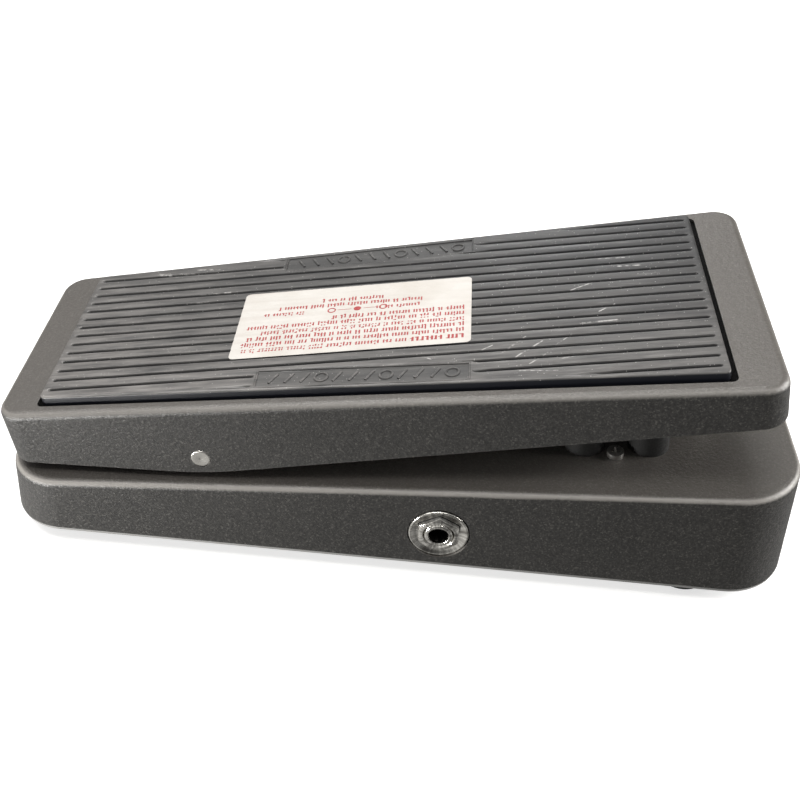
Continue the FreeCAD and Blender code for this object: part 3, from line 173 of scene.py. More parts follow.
def powder_coat(name, recess=False, shoulder_highlight=0.9):
    """Black textured powder coat: fine grit, paler grains as painted glints, paler where edges are rubbed,
    painted light on upward faces and painted highlights on the shoulders.

    With recess it is the treadle's, with painted shade: the floor of the gap round the mat is near-black."""
    s = Shader(name)
    grit = s.noise(0.75, detail=3.0, rough=0.7)
    orange_peel = s.noise(1.6, detail=1.0)
    cloud = s.noise(34, detail=4.0, rough=0.6)
    up = s.along("Z", s.normal())
    # Painted light: faces turned upward are paler and warmer, as if lit from above.
    painted_top_light = s.ramp(up, 0.3, 0.95)
    # Painted highlight: the rounded shoulders between tops and sides are paler.
    shoulder = s.times(s.ramp(up, 0.30, 0.60), s.ramp(up, 0.80, 0.95, 1.0, 0.0))
    # Painted glints: random grains given a paler colour to stand in for sparkle.
    painted_glint = s.ramp(random_share(s, s.cells(0.42)), 0.82, 0.99)
    patchy = s.ramp(s.noise(3.0, detail=4.0), 0.35, 0.65)
    rubbed = s.ramp(s.times(s.edges(0.9), patchy), 0.02, 0.22)
    base = s.mix(s.ramp(cloud, 0.35, 0.7), (0.0155, 0.0151, 0.0145), (0.0215, 0.0208, 0.0198))
    for share, tone in (
        (s.ramp(grit, 0.44, 0.62, 0.0, 0.8), (0.044, 0.0425, 0.040)),
        (s.times(painted_glint, 0.40), (0.13, 0.125, 0.115)),
        (s.times(painted_top_light, 0.38), (0.125, 0.113, 0.102)),
        (s.times(shoulder, shoulder_highlight), (0.21, 0.20, 0.187)),
        (s.times(rubbed, 0.3), (0.12, 0.115, 0.11)),
    ):
        base = s.mix(share, base, tone)
    shine = 0.5
    if recess:
        above_axis = s.along("Z", s.treadle_place())
        # Painted shade: the recess floor round the mat is near-black and dull.
        floor_share = s.ramp(above_axis, (MAT_BOTTOM + 0.1) * MM, (MAT_BOTTOM + 0.3) * MM, 1.0, 0.0)
        gap_shade = s.times(floor_share, s.ramp(up, 0.8, 0.9))
        base = s.mix(gap_shade, base, (0.002, 0.002, 0.002))
        shine = s.ramp(gap_shade, 0.0, 1.0, 0.5, 0.02)
    height = s.math("ADD", grit, s.times(orange_peel, 0.8))
    return s.finish(Base_Color=base, Roughness=s.ramp(grit, 0.3, 0.7, 0.50, 0.35),
                    Specular_IOR_Level=shine, Normal=s.bump(height, 0.16, 0.9))


def segment_mask(s, spot, start, end, width):
    """1 on a thin line between two points, fading to 0 at width millimetres from it."""
    start, end = Vector(start) * MM, Vector(end) * MM
    along = end - start
    rel = s.vector("SUBTRACT", spot, start)
    share = s.node("Math", settings={"operation": "MULTIPLY", "use_clamp": True},
                   i0=s.vector("DOT_PRODUCT", rel, along), i1=1 / along.length_squared)
    scaled = s.node("VectorMath", settings={"operation": "SCALE"}, i0=along, Scale=share)
    gap = s.vector("LENGTH", s.vector("SUBTRACT", rel, scaled))
    return s.ramp(gap, 0.0, width * MM, 1.0, 0.0)


# Scratches on the mat, in the treadle's frame: x and y of both ends, and width, in millimetres.
SCRATCHES = [
    ((96.0, -28.0), (103.0, -20.5), 0.45), ((99.5, -31.0), (108.0, -23.5), 0.4),
    ((104.0, -34.5), (109.5, -29.5), 0.35), ((111.0, -27.0), (117.0, -21.0), 0.35),
    ((101.0, -37.5), (112.0, -38.6), 0.3), ((113.0, -33.0), (121.0, -31.5), 0.3),
    ((70.0, -26.0), (74.5, -29.0), 0.35), ((88.0, -27.0), (93.0, -24.0), 0.3),
    ((-14.0, 12.0), (-4.0, 12.6), 0.6), ((-8.0, 17.2), (3.0, 17.6), 0.5),
    ((118.0, 3.0), (125.0, 6.5), 0.35), ((126.0, -10.0), (131.0, -6.5), 0.35),
    ((-26.0, 33.0), (-19.0, 31.0), 0.9), ((-18.0, 32.2), (-10.0, 31.0), 0.8),
    ((-12.0, 34.0), (-4.0, 33.2), 0.5), ((128.0, 20.5), (138.0, 20.0), 0.4),
    ((134.0, 15.0), (141.0, 14.6), 0.5), ((120.0, -15.6), (131.0, -15.2), 0.5),
]


def mat_rubber():
    """Charcoal moulded rubber with dust in it, smears along the ribs and a few scratches, painted light on
    the rib tops towards the heel and the near side, and painted shade in the grooves.
    """
    s = Shader("mat_rubber")
    spot = s.treadle_place()
    grain = s.noise(0.5, detail=3.0)
    smear = s.noise(9.0, s.stretch(spot, (0.16, 1.0, 1.0)), detail=5.0, rough=0.65)
    streak = s.noise(2.2, s.stretch(spot, (0.10, 1.0, 1.0)), detail=4.0, rough=0.7)
    patch = s.noise(60, s.stretch(spot, (0.5, 1.0, 1.0)), detail=3.0)
    dust = random_share(s, s.cells(0.6, spot))
    speck = s.times(s.ramp(dust, 0.93, 0.985, 0.0, 0.7),
                    s.ramp(s.cells(0.6, spot, "Distance"), 0.10, 0.36, 1.0, 0.0))
    lengthwise, height = s.along("X", spot), s.along("Z", spot)

    def below_top(high, low, to_high=1.0, to_low=0.0):
        """Runs between two depths under the mat's top, in millimetres."""
        return s.ramp(height, (MAT_TOP - low) * MM, (MAT_TOP - high) * MM, to_low, to_high)

    raised = below_top(0.12, 0.75)
    # Painted light with dust streaks: rib tops lighter towards the near side and the heel.
    near = s.ramp(s.along("Y", spot), -0.035, 0.02, 0.45, 0.0)
    heel = s.ramp(lengthwise, -0.05, 0.12, 0.55, 0.0)
    dust_and_painted_light = s.times(s.math("ADD", near, heel), s.ramp(streak, 0.34, 0.62, 0.15, 1.0))
    steep = s.times(s.ramp(s.along("Z", s.normal()), 0.15, 0.5, 0.9, 0.0), below_top(0.2, 0.6, 0.0, 1.0))
    scratched = None
    for (x0, y0), (x1, y1), width in SCRATCHES:
        line = segment_mask(s, spot, (x0, y0, MAT_TOP), (x1, y1, MAT_TOP), width)
        scratched = line if scratched is None else s.math("MAXIMUM", scratched, line)
    scratched = s.times(scratched, s.ramp(s.noise(1.4, spot, detail=3.0), 0.38, 0.6))
    base = s.mix(s.ramp(patch, 0.35, 0.7), (0.018, 0.0183, 0.019), (0.028, 0.0283, 0.029))
    for share, tone in (
        (s.times(raised, s.ramp(smear, 0.45, 0.75, 0.0, 0.35)), (0.105, 0.104, 0.102)),
        (s.times(raised, dust_and_painted_light), (0.16, 0.152, 0.146)),
        (s.times(raised, s.ramp(streak, 0.58, 0.78, 0.0, 0.45)), (0.20, 0.20, 0.195)),
        (s.times(scratched, 0.85), (0.42, 0.41, 0.40)),
        (s.times(speck, 0.9), (0.50, 0.49, 0.47)),
        # Painted shade: the grooves' bottoms darkened, deeper than 0.6 mm under the top.
        (below_top(0.6, 1.3, 0.0, 0.7), (0.006, 0.006, 0.007)),
        (steep, (0.006, 0.007, 0.011)),
    ):
        base = s.mix(share, base, tone)
    rough = s.ramp(smear, 0.3, 0.75, 0.34, 0.52)
    shine = s.ramp(lengthwise, 0.02, 0.12, 0.5, 0.32)
    bumps = s.math("ADD", s.times(grain, 0.5), s.times(smear, 0.8))
    return s.finish(Base_Color=base, Roughness=rough, Specular_IOR_Level=shine,
                    Normal=s.bump(bumps, 0.10, 0.6))


def label_paper():
    """Cream paper label with soiled patches and darker lengthwise streaks."""
    s = Shader("label_paper")
    spot = s.treadle_place()
    fibre = s.noise(0.8, detail=4.0)
    stain = s.noise(14, spot, detail=4.0, rough=0.6)
    bands = s.noise(2.6, s.stretch(spot, (0.05, 1.0, 1.0)), detail=1.0)
    base = s.mix(s.ramp(stain, 0.35, 0.75), (0.445, 0.430, 0.408), (0.385, 0.36, 0.33))
    base = s.mix(s.ramp(bands, 0.5, 0.8, 0.0, 0.3), base, (0.32, 0.275, 0.25))
    base = s.mix(s.ramp(fibre, 0.55, 0.8, 0.0, 0.25), base, (0.50, 0.46, 0.43))
    return s.finish(Base_Color=base, Roughness=s.ramp(fibre, 0.3, 0.7, 0.42, 0.58),
                    Normal=s.bump(fibre, 0.02, 0.5))


def label_ink():
    """Red print that has soaked a little unevenly into the label."""
    s = Shader("label_ink")
    blot = s.noise(0.45, detail=3.0)
    base = s.mix(s.ramp(blot, 0.35, 0.7), (0.20, 0.012, 0.014), (0.32, 0.035, 0.035))
    return s.finish(Base_Color=base, Roughness=0.5)


def brushed_metal(name, base, dull, rough, tarnish=0.35):
    """Bare or plated metal, brushed lengthwise and a little tarnished."""
    s = Shader(name)
    brush = s.noise(1.4, s.stretch(s.place(), (0.12, 1.0, 3.0)), detail=5.0, rough=0.7)
    blotch = s.noise(5.0, detail=5.0, rough=0.65)
    base_color = s.mix(s.times(s.ramp(blotch, 0.45, 0.75), tarnish), base, dull)
    base_color = s.mix(s.ramp(brush, 0.4, 0.7, 0.0, 0.3), base_color, dull)
    return s.finish(Base_Color=base_color, Metallic=1.0,
                    Roughness=s.ramp(brush, 0.3, 0.7, rough * 0.7, rough * 1.5),
                    Normal=s.bump(brush, 0.03, 0.5))


def moulded(name, base, second, rough, grain, depth, wear):
    """Moulded, cast or painted finish: two mottled tones, a grain depth millimetres deep, worn edges."""
    s = Shader(name)
    mottle = s.noise(7.0, detail=5.0, rough=0.6)
    texture = s.noise(grain, detail=3.0)
    edge = s.ramp(s.edges(0.35), 0.02, 0.25, 0.0, 0.5)
    base_color = s.mix(s.ramp(mottle, 0.35, 0.68), base, second)
    base_color = s.mix(s.times(edge, s.ramp(texture, 0.4, 0.6)), base_color, wear)
    return s.finish(Base_Color=base_color, Roughness=s.ramp(texture, 0.3, 0.7, rough * 0.8, rough * 1.2),
                    Normal=s.bump(texture, depth, 0.7))


def circuit_green():
    """Solder resist with faint copper tracks under it."""
    s = Shader("board_green")
    place = s.place()
    tracks = s.node("TexBrick", "Fac", {"offset": 0.37}, Vector=s.stretch(place, (1, 1, 0)), Scale=120,
                    Mortar_Size=0.06, Brick_Width=0.7, Row_Height=0.31)
    mottle = s.noise(5.0, detail=4.0)
    base = s.mix(s.ramp(mottle, 0.3, 0.7), (0.008, 0.085, 0.035), (0.012, 0.11, 0.045))
    base = s.mix(s.times(tracks, 0.5), base, (0.03, 0.22, 0.08))
    return s.finish(Base_Color=base, Roughness=0.32, Coat_Weight=0.3, Normal=s.bump(tracks, 0.05, 0.6))


def many_coloured(name, colours, size, rough):
    """Small parts or wires that differ in colour: each cell of the part takes one of the colours."""
    s = Shader(name)
    pick = random_share(s, s.cells(size))
    ramp = s.nodes.new("ShaderNodeValToRGB")
    ramp.color_ramp.interpolation = "CONSTANT"
    stops = ramp.color_ramp.elements
    while len(stops) < len(colours):
        stops.new(0.5)
    for index, colour in enumerate(colours):
        stops[index].position = index / len(colours)
        stops[index].color = (*colour, 1)
    s.links.new(pick, ramp.inputs[0])
    texture = s.noise(0.6, detail=3.0)
    base = s.mix(s.ramp(texture, 0.45, 0.75, 0.0, 0.3), ramp.outputs[0], (0.02, 0.02, 0.02))
    return s.finish(Base_Color=base, Roughness=rough, Normal=s.bump(texture, 0.02, 0.5))


def washer_metal():
    """Bright nickel brushed radially, with radial streaks painted into its colour as reflections and painted
    shade in the crevice round the nut, above it.
    """
    s = Shader("nickel_washer")
    rel = s.vector("SUBTRACT", s.place(), Vector((JACK_X, 0, JACK_Z)) * MM)
    flat = s.stretch(rel, (1, 0, 1))
    turn = s.vector("NORMALIZE", flat)
    spokes = s.node("TexNoise", Vector=turn, Scale=3.2, Detail=4.0, Roughness=0.65)
    fine = s.noise(0.5, rel, detail=3.0)
    across = None
    for angle in (math.radians(a) for a in (0, 60, 120)):
        facing = (math.cos(angle), 0, math.sin(angle))
        reach = s.math("ABSOLUTE", s.vector("DOT_PRODUCT", rel, facing))
        across = reach if across is None else s.math("MAXIMUM", across, reach)
    from_crevice = s.math("ABSOLUTE", s.math("SUBTRACT", across, (NUT_FLATS / 2 + 0.2) * MM))
    # Painted shade: a near-black, dull crevice round the nut, on its upper side only.
    crevice_shade = s.times(s.ramp(from_crevice, 0.16 * MM, 0.42 * MM, 1.0, 0.0),
                    s.ramp(s.along("Z", turn), 0.15, 0.45))
    # Painted reflections: radial streaks of bright and dark nickel in the colour.
    base = s.mix(s.ramp(spokes, 0.42, 0.62), (0.86, 0.845, 0.80), (0.30, 0.29, 0.27))
    base = s.mix(s.ramp(fine, 0.5, 0.75, 0.0, 0.5), base, (0.40, 0.385, 0.35))
    base = s.mix(crevice_shade, base, (0.006, 0.006, 0.006))
    rough = s.math("ADD", s.ramp(spokes, 0.3, 0.7, 0.12, 0.26), s.times(crevice_shade, 0.5))
    return s.finish(Base_Color=base, Metallic=s.ramp(crevice_shade, 0.2, 0.9, 1.0, 0.0), Roughness=rough,
                    Normal=s.bump(s.math("ADD", spokes, s.times(fine, 0.3)), 0.12, 0.6))


COMPONENT_COLOURS = [(0.45, 0.30, 0.13), (0.55, 0.12, 0.04), (0.10, 0.22, 0.42), (0.62, 0.52, 0.30)]
WIRE_COLOURS = [(0.50, 0.02, 0.02), (0.55, 0.45, 0.04), (0.03, 0.20, 0.05), (0.55, 0.53, 0.50)]
MATERIALS = {
    "powder_coat": powder_coat("powder_coat"),
    "mat_rubber": mat_rubber(),
    "label_paper": label_paper(),
    "nickel": brushed_metal("nickel", (0.70, 0.685, 0.65), (0.44, 0.42, 0.38), 0.24),
    "steel": brushed_metal("steel", (0.60, 0.59, 0.57), (0.36, 0.34, 0.31), 0.32, tarnish=0.6),
    "plate_steel": brushed_metal("plate_steel", (0.74, 0.74, 0.73), (0.52, 0.51, 0.49), 0.30, tarnish=0.5),
    "tinned": brushed_metal("tinned", (0.72, 0.72, 0.70), (0.50, 0.49, 0.47), 0.35),
    "stop_rubber": moulded("stop_rubber", (0.003, 0.003, 0.003), (0.006, 0.006, 0.006), 0.62, 0.7, 0.06,
                           wear=(0.09, 0.088, 0.085)),
    "black_plastic": moulded("black_plastic", (0.014, 0.014, 0.015), (0.020, 0.020, 0.021), 0.36, 0.6, 0.02,
                             wear=(0.07, 0.07, 0.07)),
    "nylon": moulded("nylon", (0.66, 0.63, 0.55), (0.58, 0.54, 0.46), 0.42, 1.2, 0.02,
                     wear=(0.72, 0.70, 0.64)),
    "switch_blue": moulded("switch_blue", (0.015, 0.07, 0.30), (0.02, 0.09, 0.36), 0.33, 0.8, 0.02,
                           wear=(0.10, 0.20, 0.45)),
    "board_green": circuit_green(),
    "ferrite": moulded("ferrite", (0.035, 0.033, 0.034), (0.055, 0.05, 0.05), 0.5, 0.5, 0.05,
                       wear=(0.14, 0.13, 0.13)),
    "battery_jacket": moulded("battery_jacket", (0.03, 0.03, 0.035), (0.045, 0.045, 0.05), 0.22, 2.0, 0.01,
                              wear=(0.45, 0.33, 0.16)),
    "wire_black": moulded("wire_black", (0.015, 0.015, 0.016), (0.022, 0.022, 0.024), 0.4, 0.9, 0.02,
                          wear=(0.05, 0.05, 0.05)),
    "component_mix": many_coloured("component_mix", COMPONENT_COLOURS, 14, 0.35),
    "wire_mixed": many_coloured("wire_mixed", WIRE_COLOURS, 30, 0.4),
}
INK = label_ink()
WASHER = washer_metal()
TREADLE_COAT = powder_coat("treadle_coat", recess=True, shoulder_highlight=0.45)

for name, node in frame["nodes"].items():
    node.data.materials.clear()
    node.data.materials.append(TREADLE_COAT if name == "treadle_shell" else MATERIALS[SLOT_OF[name]])


# ------------------------------------------------------------------ mesh helpers

def new_piece(name, points, faces, body, slot, stands_for=(), material=None, matrix=None, sharp=30):
    """A mesh piece, in metres, riding on a body. Points are in millimetres, moved by matrix."""
    mesh = bpy.data.meshes.new(name)
    matrix = matrix or Matrix.Identity(4)
    mesh.from_pydata([matrix @ (Vector(p) * MM) for p in points], [], faces)
    mesh.validate()
    mesh.shade_smooth()
    mesh.set_sharp_from_angle(angle=math.radians(sharp))
    thing = bpy.data.objects.new(name, mesh)
    bpy.context.scene.collection.objects.link(thing)
    mesh.materials.append(material or MATERIALS[slot])
    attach(thing, body)
    if stands_for:
        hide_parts(*stands_for)
    return thing


def grid_faces(rows, columns, closed_rows=False, closed_columns=False, start=0):
    """Quads between rows x columns points laid out row by row."""
    faces = []
    for i in range(rows if closed_rows else rows - 1):
        for j in range(columns if closed_columns else columns - 1):
            a = start + i * columns + j
            b = start + i * columns + (j + 1) % columns
            c = start + (i + 1) % rows * columns + (j + 1) % columns
            d = start + (i + 1) % rows * columns + j
            faces.append((a, b, c, d))
    return faces


# A radius in millimetres below which a profile's point is on the axis.
ON_AXIS = 1e-6


def circle(radius, z, segments):
    """Points round the z axis."""
    turns = [math.tau * k / segments for k in range(segments)]
    return [(radius * math.cos(a), radius * math.sin(a), z) for a in turns]


def turned(profile, segments):
    """Points and faces of a closed solid turned about z from a closed loop of (radius, z)."""
    points, faces, loops = [], [], []
    for radius, z in profile:
        if radius < ON_AXIS:
            loops.append([len(points)] * segments)
            points.append((0, 0, z))
        else:
            loops.append(list(range(len(points), len(points) + segments)))
            points += circle(radius, z, segments)
    axis_to_axis = profile[0][0] < ON_AXIS and profile[-1][0] < ON_AXIS
    for i in range(len(profile) - 1 if axis_to_axis else len(profile)):
        lower, upper = loops[i], loops[(i + 1) % len(profile)]
        for k in range(segments):
            corner = [lower[k], lower[(k + 1) % segments], upper[(k + 1) % segments], upper[k]]
            unique = list(dict.fromkeys(corner))
            if len(unique) > 2:
                faces.append(unique)
    return points, faces


def pointing(origin, direction):
    """A frame whose z runs along direction from origin, in millimetres."""
    spin = Vector((0, 0, 1)).rotation_difference(Vector(direction)).to_matrix().to_4x4()
    return Matrix.Translation(Vector(origin) * MM) @ spin


# ------------------------------------------------------------------ ribbed mat

MAT_HEEL, MAT_TOE = -48.9, 160.3
MAT_HALF_HEEL, MAT_HALF_TOE = 35.15, 44.75
MAT_CORNER = 2.0
MAT_ROUND = 0.7
ROUND_ANGLES = [math.radians(a) for a in (0, 22.5, 45, 67.5)]
RIB_PITCH = 4.83
RIB_CROWN = 0.2
GROOVE_HALF, GROOVE_SHOULDER, GROOVE_DEPTH = 0.30, 0.36, 1.5
GROOVES_A_SIDE = 9
OUTER_GROOVE = (GROOVES_A_SIDE - 0.5) * RIB_PITCH
# How near the mat's ends and sides the grooves stop, and the length over which they run out.
GROOVE_MARGIN, GROOVE_RUNOUT = 2.6, 0.8
SIDE_MARGIN, SIDE_CLEAR = 1.5, 2.6
PANEL_HEEL, PANEL_TOE = 20.6, 86.4
PANEL_WIDTH, PANEL_EDGE = 8.6, 1.1
PANEL_DEPTH = 0.45
PANEL_GAP, PANEL_RUNOUT = 0.6, 1.2
# Steps between the mat's rows of points, from its ends and from the panels' ends, and between the rest.
END_STEPS = (0, 0.05, 0.2, 0.45, 0.7, 1.0, 1.3, 1.6, 2.0, 2.4, 2.8, 3.4)
PANEL_STEPS = (-2.2, -1.6, -1.1, -0.7, -0.4, -0.05, 0.05, 0.6)
ROW_STEP = 3.0
# Steps of the points across the mat, from each groove's middle, and those near its sides.
GROOVE_STEPS = (-2.41, -1.8, -1.2, -0.85, -0.70, -0.52, -0.35, -0.17,
                0, 0.17, 0.35, 0.52, 0.70, 0.85, 1.2, 1.8)
SIDE_COLUMNS = (42.6, 43.2, 43.8)


def round_drop(from_edge, radius):
    """How far a rounded edge of this radius lies below its flat, at a distance in from the edge."""
    if from_edge >= radius:
        return 0.0
    return radius - math.sqrt(max(0, radius ** 2 - (radius - from_edge) ** 2))


def mat_half(x):
    """Half the mat's width at x, with its rounded plan corners."""
    half = lerp(MAT_HALF_HEEL, MAT_HALF_TOE, (x - MAT_HEEL) / (MAT_TOE - MAT_HEEL))
    return half - round_drop(min(x - MAT_HEEL, MAT_TOE - x), MAT_CORNER)


def nearest_groove(y):
    """Position across the mat of the groove nearest to y."""
    return clamp((math.floor(y / RIB_PITCH) + 0.5) * RIB_PITCH, -OUTER_GROOVE, OUTER_GROOVE)


def groove_distance(y):
    """Distance across the mat to the middle of the nearest groove."""
    return abs(y - nearest_groove(y))


def in_panel(x, y):
    """Whether a point is in one of the two smooth panels beside the ribs."""
    outer = mat_half(x) - PANEL_EDGE
    return PANEL_HEEL < x < PANEL_TOE and outer - PANEL_WIDTH < abs(y) < outer


def groove(x, y):
    """Depth of the grooves at a point of the mat's top."""
    if in_panel(x, y):
        return PANEL_DEPTH
    off = groove_distance(y)
    across = 1 - smooth(GROOVE_HALF * 0.5, GROOVE_HALF + GROOVE_SHOULDER, off)
    crown = RIB_CROWN * (1 - min(off, RIB_PITCH / 2) / (RIB_PITCH / 2)) ** 2
    share = 1
    for from_end in (x - MAT_HEEL, MAT_TOE - x):
        share *= smooth(0, GROOVE_RUNOUT, from_end - GROOVE_MARGIN + GROOVE_RUNOUT)
    if abs(y) > mat_half(x) - PANEL_EDGE - PANEL_WIDTH - 0.5:
        from_panel = max(PANEL_HEEL - PANEL_GAP - x, x - PANEL_TOE - PANEL_GAP)
        share *= smooth(0, PANEL_RUNOUT, from_panel)
    share *= smooth(SIDE_MARGIN, SIDE_CLEAR, mat_half(x) - abs(nearest_groove(y)))
    return (GROOVE_DEPTH * across + crown * (1 - across)) * share


def mat_stations():
    """Positions along the mat, close together at its ends and the panels' ends."""
    stations = set()
    for end, way in ((MAT_HEEL, 1), (MAT_TOE, -1)):
        stations |= {round(end + way * step, 3) for step in END_STEPS}
    for end in (PANEL_HEEL, PANEL_TOE):
        stations |= {round(end + step, 3) for step in PANEL_STEPS}
    x = MAT_HEEL + 6
    while x < MAT_TOE - 5:
        stations.add(round(x, 3))
        x += ROW_STEP
    return sorted(stations)


def mat_columns():
    """Positions across the mat that follow the grooves' sides."""
    columns = set()
    for k in range(-GROOVES_A_SIDE, GROOVES_A_SIDE):
        columns |= {round((k + 0.5) * RIB_PITCH + step, 3) for step in GROOVE_STEPS}
    for side in SIDE_COLUMNS:
        columns |= {-side, side}
    return sorted(columns)


def ribbed_mat():
    """The mat's top as a height field between rounded edges, with its walls and underside."""
    columns = mat_columns()
    rows = []
    for x in mat_stations():
        half = mat_half(x)
        flat = half - MAT_ROUND
        crest = MAT_TOP - round_drop(min(x - MAT_HEEL, MAT_TOE - x), MAT_ROUND)
        row = [(x, -half, MAT_BOTTOM)]
        row += [(x, -flat - MAT_ROUND * math.cos(a), crest - groove(x, -flat) - MAT_ROUND * (1 - math.sin(a)))
                for a in ROUND_ANGLES]
        for y in columns:
            y = clamp(y, -flat, flat)
            row.append((x, y, crest - groove(x, y)))
        row += [(x, flat + MAT_ROUND * math.cos(a), crest - groove(x, flat) - MAT_ROUND * (1 - math.sin(a)))
                for a in reversed(ROUND_ANGLES)]
        row.append((x, half, MAT_BOTTOM))
        rows.append(row)
    width = len(rows[0])
    points = [point for row in rows for point in row]
    faces = grid_faces(len(rows), width, closed_columns=True)
    faces.append(tuple(reversed(range(width))))
    faces.append(tuple(range((len(rows) - 1) * width, len(rows) * width)))
    faces = [tuple(reversed(face)) for face in faces]
    weld(new_piece("ribbed_mat", points, faces, "treadle", "mat_rubber", ["tread_mat"],
                   matrix=TREADLE, sharp=40))


def weld(thing, distance=1e-6):
    """Merges points that lie on each other, so clamped columns leave no stray faces."""
    mesh = bmesh.new()
    mesh.from_mesh(thing.data)
    bmesh.ops.remove_doubles(mesh, verts=mesh.verts, dist=distance)
    bmesh.ops.dissolve_degenerate(mesh, edges=mesh.edges, dist=distance)
    bmesh.ops.recalc_face_normals(mesh, faces=mesh.faces)
    mesh.to_mesh(thing.data)
    mesh.free()


def strip(path, width, bottom, top, points, faces, chamfer=0.18):
    """Adds a raised strip with sloped shoulders along a polyline of (x, y)."""
    path = [Vector(p) for p in path]
    start = len(points)
    for index, here in enumerate(path):
        before = path[max(index - 1, 0)]
        after = path[min(index + 1, len(path) - 1)]
        side = (after - before).normalized().orthogonal() * width / 2
        inner = side * (1 - 2 * chamfer / width)
        for offset, z in ((side, bottom), (side, top - chamfer), (inner, top), (-inner, top),
                          (-side, top - chamfer), (-side, bottom)):
            point = here + offset
            points.append((point.x, point.y, z))
    rows = len(path)
    faces += grid_faces(rows, 6, closed_columns=True, start=start)
    faces.append(tuple(start + k for k in reversed(range(6))))
    faces.append(tuple(start + (rows - 1) * 6 + k for k in range(6)))


FRAME_WIDTH, FRAME_INSET = 0.7, 0.3
BAR_WIDTH, BAR_REACH, BAR_PITCH, BAR_MARGIN = 0.8, 1.2, 5.0, 5.5
RING_WIDTH, RING_RADIUS, RING_SEGMENTS = 0.7, 2.0, 20
MARK_SUNK = 0.08


def panel_spot(side, x, share):
    """A point of a panel at x, from its outer border at share 0 to its inner one at 1."""
    outer = mat_half(x) - PANEL_EDGE - FRAME_INSET
    return (x, side * (outer - share * (PANEL_WIDTH - FRAME_INSET)))


def panel_frames():
    """Raised borders of the two panels, and a plain row of slanted bars and rings inside each."""
    points, faces = [], []
    floor, top = MAT_TOP - PANEL_DEPTH - 0.3, MAT_TOP
    for side in (-1, 1):
        lengthwise = [lerp(PANEL_HEEL, PANEL_TOE, k / 12) for k in range(13)]
        for share in (0, 1):
            strip([panel_spot(side, x, share) for x in lengthwise], FRAME_WIDTH, floor, top, points, faces)
        for x in (PANEL_HEEL, PANEL_TOE):
            strip([panel_spot(side, x, share) for share in (0, 1)], BAR_WIDTH, floor, top, points, faces)
        x = PANEL_HEEL + BAR_MARGIN
        count = 0
        while x < PANEL_TOE - 5:
            if count % 4 == 3:
                turns = [math.tau * k / RING_SEGMENTS for k in range(RING_SEGMENTS + 1)]
                middle = Vector(panel_spot(side, x, 0.5))
                path = [middle + RING_RADIUS * Vector((math.cos(a), math.sin(a))) for a in turns]
                width = RING_WIDTH
            else:
                path = [panel_spot(side, x - BAR_REACH, 0.24), panel_spot(side, x + BAR_REACH, 0.76)]
                width = BAR_WIDTH
            strip(path, width, floor, top - MARK_SUNK, points, faces)
            x += BAR_PITCH
            count += 1
    weld(new_piece("mat_panels", points, faces, "treadle", "mat_rubber", matrix=TREADLE, sharp=40))


# ------------------------------------------------------------------ label on the mat

LABEL_LENGTH, LABEL_WIDTH = 76.7, 36.8
LABEL_MIDDLE = (48.0, -3.3)
LABEL_TURN = math.radians(0.4)
LABEL_THICK = 0.13
LABEL_SAG, LABEL_LIFT = 0.09, 0.012
LABEL_CORNER = 1.6
CORNER_STEPS = (0, 0.25, 0.55, 0.9, 1.25, 1.6)


def label_spot(u, v, lift):
    """A point of the label, from its middle: u towards the toe, v away from the camera side."""
    x = LABEL_MIDDLE[0] + u * math.cos(LABEL_TURN) - v * math.sin(LABEL_TURN)
    y = LABEL_MIDDLE[1] + u * math.sin(LABEL_TURN) + v * math.cos(LABEL_TURN)
    sag = LABEL_SAG * (1 - smooth(0.1, 1.4, groove_distance(y)))
    return (x, y, MAT_TOP + LABEL_LIFT - sag + lift)


def onto_corner(u, v):
    """Pulls a point in the label's corner square onto its rounded corner."""
    inner_u, inner_v = LABEL_LENGTH / 2 - LABEL_CORNER, LABEL_WIDTH / 2 - LABEL_CORNER
    du, dv = abs(u) - inner_u, abs(v) - inner_v
    if du > 0 and dv > 0:
        scale = max(du, dv) / math.hypot(du, dv)
        u = math.copysign(inner_u + du * scale, u)
        v = math.copysign(inner_v + dv * scale, v)
    return u, v


def label_lines(length, divisions):
    """Positions along one side of the label, from its middle, close together at its corners."""
    half = length / 2
    between = [lerp(LABEL_CORNER - half, half - LABEL_CORNER, k / divisions) for k in range(1, divisions)]
    return [step - half for step in CORNER_STEPS] + between + [half - step for step in reversed(CORNER_STEPS)]


def paper_label():
    """A thin sheet with rounded corners that sags a little into the grooves under it."""
    along, across = label_lines(LABEL_LENGTH, 24), label_lines(LABEL_WIDTH, 60)
    rows, columns = len(along), len(across)
    points = [label_spot(*onto_corner(u, v), lift)
              for lift in (0.0, LABEL_THICK) for u in along for v in across]
    top = rows * columns
    faces = grid_faces(rows, columns) + [tuple(reversed(f)) for f in grid_faces(rows, columns, start=top)]
    rim = [j for j in range(columns)] + [i * columns + columns - 1 for i in range(1, rows)]
    rim += [(rows - 1) * columns + j for j in range(columns - 2, -1, -1)]
    rim += [i * columns for i in range(rows - 2, 0, -1)]
    for a, b in zip(rim, rim[1:] + rim[:1]):
        faces.append((a, b, top + b, top + a))
    weld(new_piece("notice_label", points, faces, "treadle", "label_paper", ["notice_sticker"],
                   matrix=TREADLE))


# Rows of stand-in print on the label: distance from the near edge, start and end from the toe edge as
# shares of its length, and letter height.
PRINT_ROWS = [
    (3.7, 0.03, 0.96, 1.75), (6.9, 0.03, 0.97, 1.65), (10.0, 0.03, 0.95, 1.65), (13.1, 0.03, 0.90, 1.65),
    (16.2, 0.03, 0.97, 1.65), (19.3, 0.03, 0.60, 1.65), (23.2, 0.22, 0.42, 1.5), (23.2, 0.72, 0.90, 1.5),
    (26.4, 0.21, 0.84, 1.5), (29.3, 0.38, 0.66, 1.25),
]
HEADING_LENGTH = 11.5
INK_THICK = 0.03
